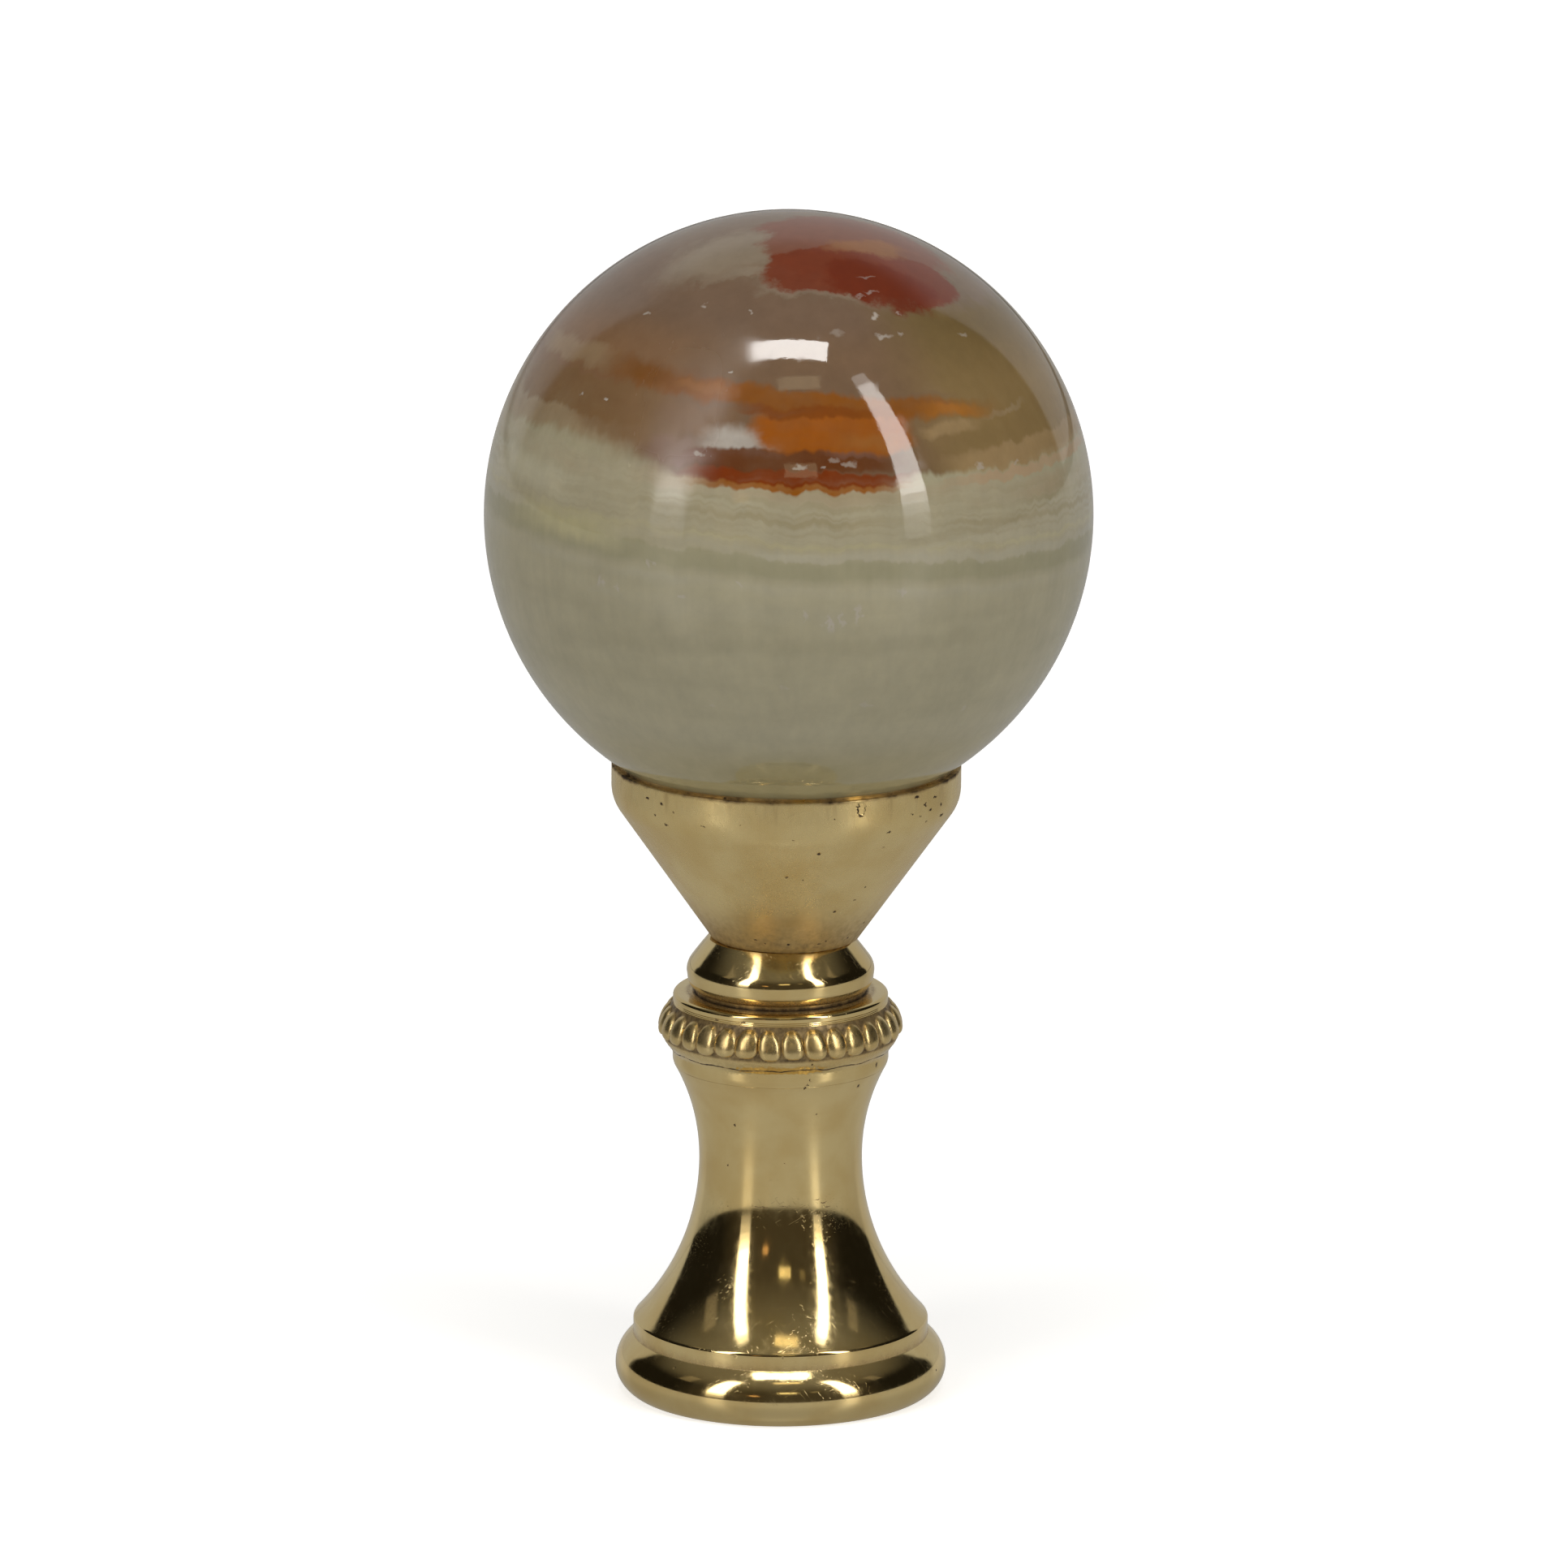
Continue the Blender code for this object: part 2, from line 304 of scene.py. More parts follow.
def thread_rings():
    """The tapped hole: one screw thread, running out into the drill point."""
    root = TAP_ROOT_D / 2
    crest = TAP_CREST_D / 2
    low = RECESS_DEPTH + TAP_CHAMFER * 0.5
    rows = math.ceil((TAP_DEPTH - low) / TAP_PITCH * TAP_ROWS_PER_TURN)
    rings = [ring(root + TAP_CHAMFER, RECESS_DEPTH, STEM_STEPS)]
    for row in range(rows + 1):
        height = low + (TAP_DEPTH - low) * row / rows
        lead_in = smooth_step(low + TAP_LEAD_IN, low, height)
        run_out = smooth_step(TAP_DEPTH - TAP_RUN_OUT[0], TAP_DEPTH - TAP_RUN_OUT[1], height)

        def radius(turn, z=height, opened=lead_in, closed=run_out):
            phase = (z / TAP_PITCH - turn / math.tau) % 1.0
            bore = crest + (root - crest) * abs(2 * phase - 1)
            bore = bore + (root - bore) * opened
            return bore + (crest - bore) * closed

        rings.append(ring(radius, height, STEM_STEPS))
    rings.append(ring(crest, TAP_DEPTH + 0.01, STEM_STEPS))
    rings.append([Vector((0.0, 0.0, TAP_DEPTH + TAP_POINT_H)) * MM])
    return rings


def plain_rings(profile):
    return [ring(r, z, STEM_STEPS) for r, z in profile]


neck = neck_rings()
stem_rings = [
    [Vector((0.0, 0.0, NECK_FACE[1])) * MM],
    *plain_rings(neck),
    *plain_rings(collar_rings(neck[-1])),
    *bead_rings(),
    *plain_rings(shaft_rings()),
    *plain_rings(foot_rings()),
    *thread_rings(),
]

# Where dirt gathers on the stem: radius, height, reach and strength of each groove, in mm, and the
# shares between the beads, on the band under them and inside the recess and the hole
STEM_GROOVES = (
    (4.98, 23.78, 0.22, 0.85),
    (5.15, 24.20, 0.46, 0.42),
    (5.40, SHELF_Z, 0.20, 0.40),
    (LIP_D / 2, CREASE_Z, 0.06, 0.40),
    (RECESS_D / 2 - RECESS_DRAFT, RECESS_DEPTH, 0.4, 0.8),
)
DIRT_BETWEEN_BEADS = 0.58
DIRT_UNDER_BEADS = 0.24
DIRT_INSIDE = 0.45
BEADS_DIRTY_UP = (20.95, 21.25)  # heights over which the first and the second of them set in
BAND_DIRTY_UP = (20.4, 20.9)


def stem_dirt(point):
    radius = math.hypot(point.x, point.y)
    share = 0.0
    for groove_r, groove_z, reach, strength in STEM_GROOVES:
        away = math.hypot(radius - groove_r, point.z - groove_z) / reach
        share = max(share, strength * math.exp(-away * away))
    if BEAD_BAND[0] < point.z < BEAD_BAND[1] + 0.01 and radius > 6.0:
        turn = math.atan2(point.x, -point.y) % math.tau
        crest = bead_surface(turn, point.z)[1]
        around = smooth_step(*BEADS_DIRTY_UP, point.z) * smooth_step(0.5, 0.05, crest)
        under = smooth_step(*BAND_DIRTY_UP, point.z)
        share = max(share, DIRT_BETWEEN_BEADS * around, DIRT_UNDER_BEADS * under)
    in_hole = radius < TAP_ROOT_D / 2 + TAP_CHAMFER + 0.01 and point.z < TAP_DEPTH + TAP_POINT_H
    in_recess = radius < RECESS_D / 2 - 0.01 and 0.05 < point.z < RECESS_DEPTH + 0.01
    if in_hole or in_recess:
        share = max(share, DIRT_INSIDE)
    return share


stem = turned_piece("stem_turned", stem_rings, stem_dirt)


# Finish of the brass
# Yellow brass, buffed bright on the stem and left satin on the cup. Both have the fine rings of
# the lathe, small pits, faint rubbed scratches, and brown dirt where the cloth doesn't reach. Low on
# the cup, above its foot, part of that brown is painted shade.
BRASS_DEEP = (0.83, 0.62, 0.27, 1.0)
BRASS_PALE = (0.92, 0.73, 0.36, 1.0)
DIRT_DARK = (0.055, 0.030, 0.012, 1.0)
WARM_DIRT_AND_SHADE = (0.235, 0.125, 0.048, 1.0)
LATHE_RINGS_PER_MM = 14.0
PIT_SPACING = 0.9               # in mm, as the five below
PIT_DEPTH = 0.03
SPECK_SPACING = 0.34
SPECK_SIZE = 0.13
SPECK_DEPTH = 0.005
SCRATCH_DEPTH = 0.002
SCRATCH_ROUGH = 0.12            # what specks and scratches add to the roughness
DIRT_ROUGH = 0.38               # what full dirt adds to it, and takes from the metal
DIRT_METAL = -0.75
CRACK_Z = 20.34                 # height of the thin crack round the drum, in mm
CRACK_WANDER = 0.30             # how far it wanders up from there
CRACK_SCALLOP = 0.09            # how high its arcs are, and how many degrees each one fills
CRACK_ARC = 23
CRACK_EDGES = (0.018, 0.070)    # it is full and ends at these distances from its middle
NOWHERE = (0.0, 0.0, 0.0)       # what a place input holds until it is linked


def add_node(tree, kind, inputs=None, **settings):
    """A shader node with its settings, and each of its inputs set to a value or linked."""
    made = tree.nodes.new(kind)
    for name, value in settings.items():
        setattr(made, name, value)
    for name, value in (inputs or {}).items():
        if isinstance(value, bpy.types.NodeSocket):
            tree.links.new(value, made.inputs[name])
        else:
            made.inputs[name].default_value = value
    return made


def maths(tree, operation, first, second=0.0, third=0.0, clamp=False):
    inputs = {0: first, 1: second, 2: third}
    return add_node(tree, "ShaderNodeMath", inputs, operation=operation, use_clamp=clamp).outputs[0]


def times(tree, first, *others):
    for other in others:
        first = maths(tree, "MULTIPLY", first, other)
    return first


def vector_maths(tree, operation, inputs):
    made = add_node(tree, "ShaderNodeVectorMath", inputs, operation=operation)
    return made.outputs["Value" if operation == "LENGTH" else "Vector"]


def axes_of(tree, place):
    return add_node(tree, "ShaderNodeSeparateXYZ", {0: place}).outputs


def fade(tree, value, low, high):
    """0 below low, 1 above high, smooth between."""
    inputs = {"Value": value, "From Min": low, "From Max": high, "To Min": 0.0, "To Max": 1.0}
    return add_node(
        tree, "ShaderNodeMapRange", inputs, interpolation_type="SMOOTHSTEP"
    ).outputs["Result"]


def mix_colour(tree, share, first, second):
    inputs = {"Factor": share, 6: first, 7: second}
    return add_node(tree, "ShaderNodeMix", inputs, data_type="RGBA").outputs[2]


def noise_value(tree, place, scale, stretch=(1.0, 1.0, 1.0), detail=3.0, roughness=0.5):
    stretched = add_node(tree, "ShaderNodeMapping", {"Vector": place, "Scale": stretch}).outputs[0]
    inputs = {"Vector": stretched, "Scale": scale, "Detail": detail, "Roughness": roughness}
    return add_node(tree, "ShaderNodeTexNoise", inputs).outputs["Fac"]


def stirred(tree, place, scale, detail, roughness=0.5):
    """A different noise about zero along each axis."""
    inputs = {"Vector": place, "Scale": scale, "Detail": detail, "Roughness": roughness}
    value = add_node(tree, "ShaderNodeTexNoise", inputs).outputs["Color"]
    return vector_maths(tree, "SUBTRACT", {0: value, 1: (0.5, 0.5, 0.5)})


def millimetres(tree):
    """Place on the piece in millimetres from its own origin."""
    place = add_node(tree, "ShaderNodeTexCoord").outputs["Object"]
    return vector_maths(tree, "SCALE", {0: place, "Scale": 1 / MM})


def new_material(name):
    material = bpy.data.materials.new(name)
    material.use_nodes = True
    return material, material.node_tree, material.node_tree.nodes["Principled BSDF"]


def effect_group(name, inputs, outputs=("Mask",)):
    """An empty shader node group, with its inputs' names and values and its outputs' names."""
    group = bpy.data.node_groups.new(name, "ShaderNodeTree")
    for label, value in inputs.items():
        kind = "NodeSocketVector" if isinstance(value, tuple) else "NodeSocketFloat"
        socket = group.interface.new_socket(name=label, in_out="INPUT", socket_type=kind)
        socket.default_value = value
    for label in outputs:
        group.interface.new_socket(name=label, in_out="OUTPUT", socket_type="NodeSocketFloat")
    entry = group.nodes.new("NodeGroupInput")
    leave = group.nodes.new("NodeGroupOutput")
    return group, entry.outputs, leave.inputs


def use_group(tree, group, inputs):
    return add_node(tree, "ShaderNodeGroup", inputs, node_tree=group).outputs


def make_soft_spot():
    """A rounded spot: 1 inside an ellipsoid of these half sizes, fading out at its edge."""
    group, given, result = effect_group("soft_spot", {
        "Place": NOWHERE, "Centre": NOWHERE, "Turn": NOWHERE, "Half Size": (1.0, 1.0, 1.0), "Blur": 0.3,
    })
    local = add_node(
        group, "ShaderNodeMapping",
        {"Vector": given["Place"], "Location": given["Centre"], "Rotation": given["Turn"],
         "Scale": given["Half Size"]},
        vector_type="TEXTURE",
    ).outputs[0]
    away = vector_maths(group, "LENGTH", {0: local})
    mask = fade(group, away, 1.0, maths(group, "SUBTRACT", 1.0, given["Blur"]))
    group.links.new(mask, result["Mask"])
    return group


def make_soft_patch():
    """A patch with rounded corners, laid round a turned piece: places are turn in degrees and height."""
    group, given, result = effect_group("soft_patch", {
        "Turn": 0.0, "Height": 0.0, "Centre Turn": 0.0, "Centre Height": 0.0,
        "Half Turn": 1.0, "Half Height": 1.0, "Slope": 0.0, "Blur": 0.3,
    })
    aside = maths(group, "SUBTRACT", given["Turn"], given["Centre Turn"])
    middle = maths(group, "MULTIPLY_ADD", aside, given["Slope"], given["Centre Height"])
    above = maths(group, "SUBTRACT", given["Height"], middle)
    away = 0.0
    for part, half in ((aside, "Half Turn"), (above, "Half Height")):
        share = maths(group, "DIVIDE", part, given[half])
        square = times(group, share, share)
        away = maths(group, "MULTIPLY_ADD", square, square, away)
    away = maths(group, "SQRT", maths(group, "SQRT", away))
    mask = fade(group, away, 1.0, maths(group, "SUBTRACT", 1.0, given["Blur"]))
    group.links.new(mask, result["Mask"])
    return group


def make_small_mark():
    """An oval mark laid round a turned piece: 1 in its middle, fading to its edge."""
    group, given, result = effect_group(
        "small_mark", {"Turn and Height": NOWHERE, "Centre": NOWHERE, "Half Size": (1.0, 1.0, 1.0)}
    )
    aside = vector_maths(group, "SUBTRACT", {0: given["Turn and Height"], 1: given["Centre"]})
    share = vector_maths(group, "DIVIDE", {0: aside, 1: given["Half Size"]})
    away = vector_maths(group, "LENGTH", {0: share})
    group.links.new(fade(group, away, 1.0, 0.3), result["Mask"])
    return group


def make_lathe_marks():
    """The lathe's fine rings: heights for the bump, and a value that varies the gloss with them."""
    group, given, result = effect_group(
        "lathe_marks", {"Place": NOWHERE, "Rings per mm": 12.0}, ("Height", "Gloss")
    )
    parts = axes_of(group, given["Place"])
    flat = add_node(group, "ShaderNodeCombineXYZ", {"X": parts["X"], "Y": parts["Y"]}).outputs[0]
    out = vector_maths(group, "LENGTH", {0: flat})
    along = maths(group, "MULTIPLY_ADD", out, 0.35, parts["Z"])
    drift = noise_value(group, given["Place"], 0.25, detail=1.0)
    along = maths(group, "MULTIPLY_ADD", drift, 0.4, along)
    line = add_node(group, "ShaderNodeCombineXYZ", {"Z": along}).outputs[0]
    fine = add_node(
        group, "ShaderNodeTexNoise",
        {"Vector": line, "Scale": given["Rings per mm"], "Detail": 2.0, "Roughness": 0.7},
    ).outputs["Fac"]
    broad = noise_value(group, line, 2.2, detail=1.0)
    group.links.new(fine, result["Height"])
    group.links.new(times(group, fine, broad), result["Gloss"])
    return group


def make_pits():
    """Sparse small pits, of uneven size and outline, thicker in some places than in others."""
    group, given, result = effect_group(
        "casting_pits", {"Place": NOWHERE, "Spacing": 1.0, "Size": 0.1, "Share": 0.3}
    )
    scale = maths(group, "DIVIDE", 1.0, given["Spacing"])
    wobble = noise_value(group, given["Place"], 9.0, detail=2.0)
    cells = add_node(
        group, "ShaderNodeTexVoronoi", {"Vector": given["Place"], "Scale": scale}, feature="F1"
    ).outputs
    chance = add_node(group, "ShaderNodeSeparateColor", {0: cells["Color"]}).outputs
    here = maths(group, "LESS_THAN", chance["Red"], given["Share"])
    uneven = maths(group, "ADD", chance["Green"], 0.35)
    size = times(group, given["Size"], uneven, maths(group, "ADD", wobble, 0.45))
    near = fade(group, cells["Distance"], size, times(group, size, 0.4))
    patchy = fade(group, noise_value(group, given["Place"], 0.16, detail=1.0), 0.4, 0.6)
    group.links.new(times(group, near, here, patchy), result["Mask"])
    return group


def make_rubbed_scratches():
    """Short thin scratches in two directions, in some places only."""
    group, given, result = effect_group("rubbed_scratches", {"Place": NOWHERE})
    mask = 0.0
    for lean, seed in ((0.5, 0.0), (-0.9, 40.0)):
        turned = add_node(
            group, "ShaderNodeMapping",
            {"Vector": given["Place"], "Location": (seed, 0.0, 0.0), "Rotation": (0.3, lean, 0.0)},
        ).outputs[0]
        lines = noise_value(group, turned, 1.0, stretch=(0.7, 9.0, 15.0), detail=1.0)
        mask = maths(group, "MAXIMUM", fade(group, lines, 0.70, 0.74), mask)
    some = fade(group, noise_value(group, given["Place"], 0.3, detail=1.0), 0.42, 0.58)
    group.links.new(times(group, mask, some), result["Mask"])
    return group


SOFT_SPOT = make_soft_spot()
SOFT_PATCH = make_soft_patch()
SMALL_MARK = make_small_mark()
LATHE_MARKS = make_lathe_marks()
CASTING_PITS = make_pits()
RUBBED_SCRATCHES = make_rubbed_scratches()


def turn_and_height(tree, place):
    """Turn to the right of the front in degrees, and height."""
    parts = axes_of(tree, place)
    towards = times(tree, parts["Y"], -1.0)
    turn = maths(tree, "ARCTAN2", parts["X"], towards)
    return maths(tree, "DEGREES", turn), parts["Z"]


def ragged_place(tree, place, scale, turn_size, height_size):
    """Turn and height, pushed about a little, so that small marks have ragged edges."""
    turn, height = turn_and_height(tree, place)
    stir = stirred(tree, place, scale, 2.0)
    flat = add_node(tree, "ShaderNodeCombineXYZ", {"X": turn, "Y": height}).outputs[0]
    return vector_maths(tree, "MULTIPLY_ADD", {0: stir, 1: (turn_size, height_size, 0.0), 2: flat})


def marks_mask(tree, ragged, marks):
    """Small marks on a turned piece: turn, height, half turn, half height and strength of each."""
    mask = 0.0
    for at_turn, at_height, half_turn, half_height, strength in marks:
        inputs = {"Turn and Height": ragged, "Centre": (at_turn, at_height, 0.0),
                  "Half Size": (half_turn, half_height, 1.0)}
        mark = use_group(tree, SMALL_MARK, inputs)["Mask"]
        mask = maths(tree, "MAXIMUM", times(tree, mark, strength), mask)
    return mask


def height_band(tree, place, low, high, blur):
    """1 between two heights on a piece, in mm."""
    height = turn_and_height(tree, place)[1]
    above = fade(tree, height, low - blur, low + blur)
    return times(tree, above, fade(tree, height, high + blur, high - blur))


def brass_finish(
    name, gloss, rubbed, haze, ring_bump, pits, marks, dulled, extra_dirt=None, extra_dent=None
):
    """Brass with a base roughness, its variation, the lathe's rings, pits, marks and gathered dirt.

    haze is what cloudy patches of fine rubbing marks add to the roughness. pits gives their size in
    mm and the share of places that have one. dulled is a band of heights that is less polished:
    low, high, blur and added roughness.
    """
    material, tree, shader = new_material(name)
    place = millimetres(tree)

    cloudy = noise_value(tree, place, 0.35, detail=4.0)
    colour = mix_colour(tree, fade(tree, cloudy, 0.3, 0.7), BRASS_DEEP, BRASS_PALE)
    rings = use_group(tree, LATHE_MARKS, {"Place": place, "Rings per mm": LATHE_RINGS_PER_MM})
    pit_size, pit_share = pits
    pitted, specks = (
        use_group(
            tree, CASTING_PITS, {"Place": place, "Spacing": spacing, "Size": size, "Share": share}
        )["Mask"]
        for spacing, size, share in (
            (PIT_SPACING, pit_size, pit_share), (SPECK_SPACING, SPECK_SIZE, pit_share * 1.5)
        )
    )
    scratched = use_group(tree, RUBBED_SCRATCHES, {"Place": place})["Mask"]

    gathered = add_node(tree, "ShaderNodeAttribute", attribute_name="dirt_and_shade").outputs["Fac"]
    broken = noise_value(tree, place, 2.6, detail=5.0, roughness=0.65)
    dirt_and_shade = maths(tree, "MULTIPLY", gathered, maths(tree, "ADD", broken, 0.55), clamp=True)
    dirt_and_shade = maths(tree, "MAXIMUM", dirt_and_shade, times(tree, pitted, 0.8))
    ragged = ragged_place(tree, place, 7.0, 2.6, 0.26)
    dirt_and_shade = maths(tree, "MAXIMUM", dirt_and_shade, marks_mask(tree, ragged, marks))
    if extra_dirt:
        dirt_and_shade = maths(tree, "MAXIMUM", dirt_and_shade, extra_dirt(tree, place))
    dirt_and_shade = fade(tree, dirt_and_shade, 0.08, 0.85)
    dirt_and_shade_tone = mix_colour(tree, fade(tree, dirt_and_shade, 0.45, 1.0), WARM_DIRT_AND_SHADE, DIRT_DARK)
    colour = mix_colour(tree, dirt_and_shade, colour, dirt_and_shade_tone)

    hazy = fade(tree, noise_value(tree, place, 3.0, stretch=(1.0, 1.0, 0.4), detail=4.0), 0.30, 0.75)
    rough = maths(tree, "MULTIPLY_ADD", rings["Gloss"], rubbed, gloss)
    rough = maths(tree, "MULTIPLY_ADD", hazy, haze, rough)
    rubbed_marks = maths(tree, "MAXIMUM", specks, scratched)
    rough = maths(tree, "MULTIPLY_ADD", rubbed_marks, SCRATCH_ROUGH, rough)
    low, high, blur, added = dulled
    rough = maths(tree, "MULTIPLY_ADD", height_band(tree, place, low, high, blur), added, rough)
    rough = maths(tree, "MULTIPLY_ADD", fade(tree, cloudy, 0.45, 0.75), rubbed * 0.4, rough)
    rough = maths(tree, "MULTIPLY_ADD", dirt_and_shade, DIRT_ROUGH, rough)
    metal = maths(tree, "MULTIPLY_ADD", dirt_and_shade, DIRT_METAL, 1.0)

    height = times(tree, rings["Height"], ring_bump)
    for mark, depth in ((pitted, PIT_DEPTH), (specks, SPECK_DEPTH), (scratched, SCRATCH_DEPTH)):
        height = maths(tree, "MULTIPLY_ADD", mark, -depth, height)
    if extra_dent:
        height = maths(tree, "SUBTRACT", height, extra_dent(tree, place))
    normal = add_node(
        tree, "ShaderNodeBump", {"Height": height, "Strength": 0.6, "Distance": MM}
    ).outputs[0]

    for label, value in (
        ("Base Color", colour), ("Roughness", rough), ("Metallic", metal), ("Normal", normal)
    ):
        tree.links.new(value, shader.inputs[label])
    return material


def stem_ledge_crack(tree, place):
    """The thin scalloped line where the beaded band was chased over the drum."""
    wander = noise_value(tree, place, 0.9, stretch=(1.0, 1.0, 0.1))
    level = maths(tree, "MULTIPLY_ADD", wander, CRACK_WANDER, CRACK_Z)
    turn, height = turn_and_height(tree, place)
    arcs = times(tree, turn, math.pi / CRACK_ARC)
    scallop = maths(tree, "ABSOLUTE", maths(tree, "SINE", arcs))
    level = maths(tree, "MULTIPLY_ADD", scallop, CRACK_SCALLOP, level)
    away = maths(tree, "ABSOLUTE", maths(tree, "SUBTRACT", height, level))
    line = maths(tree, "SUBTRACT", 1.0, fade(tree, away, *CRACK_EDGES))
    patchy = fade(tree, noise_value(tree, place, 1.4, detail=2.0), 0.35, 0.55)
    return times(tree, line, maths(tree, "MULTIPLY_ADD", patchy, 0.45, 0.45))


# Small marks on the stem: turn, height, half turn, half height, strength
STEM_MARKS = (
    (13.2, 19.42, 0.7, 0.16, 0.80), (14.4, 19.66, 0.7, 0.16, 0.80), (15.6, 19.90, 0.6, 0.14, 0.70),
    (49.0, 19.0, 1.5, 0.16, 0.8), (-31.0, 16.8, 1.4, 0.14, 0.8), (-40.0, 14.2, 1.1, 0.09, 0.7),
    (-20.0, 23.30, 2.2, 0.10, 0.6), (-36.0, 23.25, 2.4, 0.09, 0.6), (62.0, 20.0, 1.6, 0.26, 0.7),
    (23.0, 17.6, 1.0, 0.08, 0.7), (3.0, 14.6, 0.9, 0.06, 0.6), (-14.0, 11.97, 9.0, 0.034, 0.70),
    (4.0, 12.04, 8.0, 0.030, 0.60), (26.0, 12.30, 3.2, 0.040, 0.75), (31.0, 12.08, 3.6, 0.040, 0.75),
    (34.0, 11.80, 2.6, 0.036, 0.70),
)
polished = brass_finish(
    "polished_brass", gloss=0.06, rubbed=0.06, haze=0.06, ring_bump=0.0004, pits=(0.13, 0.16),
    marks=STEM_MARKS, dulled=(20.9, 22.9, 0.25, 0.13), extra_dirt=stem_ledge_crack,
)
stem.data.materials.append(polished)
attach(stem, "root")
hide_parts("brass_stem")


# Cup
# A separate cone of brass, turned to a satin face, with a short upright band at its rim. It is
# fixed on the neck a quarter millimetre to one side and half a degree out of true. The ball sits
# in its dish on brown glue, which shows as a dark uneven line along the rim.
CUP_PLACE = (0.25, 0.0, 27.0)
CUP_LEAN = 0.5
CUP_RIM_D = 20.2
CUP_H = 10.3
CUP_BAND_H = 1.25
CUP_SHOULDER_R = 2.4
CUP_FOOT_D = 8.6
CUP_RIM_ROUND = 0.07
CUP_LAND = 0.31
BALL_D = 35.0
BALL_UP = 24.94                 # the ball's centre above the cup's foot
DISH_RADII = (3.0, 6.0, 8.0, 9.0, 9.4)
GLUE_BED = 0.02                 # glue between the dish and the ball
GLUE_SPREAD = 0.06              # how much wider the glue's face is at the ball than at the rim
GLUE_WAVER = (0.09, 0.035)      # how far the glue's edge wavers, broadly and finely
GLUE_SHIFT = 0.03               # how much further in it lies on the right
GLUE_GRIME = (0.38, 0.34)       # share of dirt on the glue, and how far it varies
RIM_GRIME = (0.50, 0.40)        # the same under the rim's edge, and how far down it reaches
RIM_REACH = (0.14, 0.10)
FOOT_DIRT_AND_SHADE = ((0.6, 0.10), (0.46, 3.0))  # shares and reaches of the dirt at the foot's seam, and of the painted shade above it
CUP_SEAT = 0.02                 # the foot is set this far into the neck's face
CUP_FOOT_BEVEL = (0.12, 0.05)   # how far in its flat starts, and the height of its outer edge
CUP_STEPS = 256
NICK_DEPTH = 0.05
STREAK_SHARE = 0.34


def cup_outside():
    """Profile of the cup from its rim's outer edge down to its foot."""
    rim = CUP_RIM_D / 2
    centre = (rim - CUP_SHOULDER_R, CUP_H - CUP_BAND_H)
    foot = (CUP_FOOT_D / 2, CUP_FOOT_BEVEL[1])
    reach = math.dist(foot, centre)
    towards = math.atan2(foot[1] - centre[1], foot[0] - centre[0])
    cone_tilt = math.degrees(towards + math.acos(CUP_SHOULDER_R / reach))
    edge = swelling((rim - CUP_RIM_ROUND, CUP_H - CUP_RIM_ROUND), CUP_RIM_ROUND, 90.0, 0.0, 15.0)
    shoulder = swelling(centre, CUP_SHOULDER_R, 0.0, cone_tilt)
    cone = straight(shoulder[-1], foot, 24)
    return [*edge, *straight(edge[-1], shoulder[0], 6), *shoulder, *cone, foot]


def uneven_round(turn, scale, seed):
    """Noise round the cup, -1 to 1, that meets itself after a full turn."""
    return noise.noise(Vector((math.sin(turn) * scale, math.cos(turn) * scale, seed)))


def glue_face(turn):
    """How far in the glue's face lies at this turn, in mm from the cup's axis."""
    broad, fine = GLUE_WAVER
    uneven = broad * uneven_round(turn, 4.0, 1.0) + fine * uneven_round(turn, 22.0, 5.0)
    return CUP_RIM_D / 2 - CUP_LAND + uneven - GLUE_SHIFT * math.sin(turn)


def ball_underside(radius):
    """Height of the ball's surface above the cup's foot at this radius."""
    return BALL_UP - math.sqrt((BALL_D / 2) ** 2 - radius ** 2)


def glue_ring(share):
    """A ring on the glue's face: 0 is at the rim, 1 at the ball."""
    def radius(turn):
        return glue_face(turn) + GLUE_SPREAD * share * share

    def height(turn):
        return CUP_H + (ball_underside(radius(turn)) + GLUE_BED - CUP_H) * share

    return ring(radius, height, CUP_STEPS)


def cup_rings():
    return [
        [Vector((0.0, 0.0, ball_underside(0.0) - GLUE_BED)) * MM],
        *[ring(r, ball_underside(r) - GLUE_BED, CUP_STEPS) for r in DISH_RADII],
        *[glue_ring(share) for share in (1.0, 0.75, 0.5, 0.25, 0.0)],
        *[ring(r, z, CUP_STEPS) for r, z in cup_outside()],
        ring(CUP_FOOT_D / 2 - CUP_FOOT_BEVEL[0], -CUP_SEAT, CUP_STEPS),
        [Vector((0.0, 0.0, -CUP_SEAT)) * MM],
    ]


def cup_dirt_and_shade(point):
    radius = math.hypot(point.x, point.y)
    turn = math.atan2(point.x, -point.y)
    on_glue = point.z > CUP_H - 0.001 and radius < CUP_RIM_D / 2 - CUP_RIM_ROUND * 0.6
    uneven = uneven_round(turn, 5.0, 8.0) + 0.6 * uneven_round(turn, 19.0, 2.0)
    if on_glue or radius < 9.7 and abs(point.z - ball_underside(radius)) < 0.05:
        return GLUE_GRIME[0] + GLUE_GRIME[1] * uneven
    below = (CUP_H - point.z) / (RIM_REACH[0] + RIM_REACH[1] * uneven)
    near_rim = (RIM_GRIME[0] + RIM_GRIME[1] * uneven) * math.exp(-below * below)
    # The narrow band at the foot's seam is dirt; the wide darkening above it is painted shade, standing
    # in for the dark reflection low on the cone
    near_foot = (share * math.exp(-((point.z / reach) ** 2)) for share, reach in FOOT_DIRT_AND_SHADE)
    return max(near_rim, *near_foot)


cup = turned_piece("cup_turned", cup_rings(), cup_dirt_and_shade)
cup.location = Vector(CUP_PLACE) * MM
cup.rotation_euler = Euler((0.0, math.radians(CUP_LEAN), 0.0))

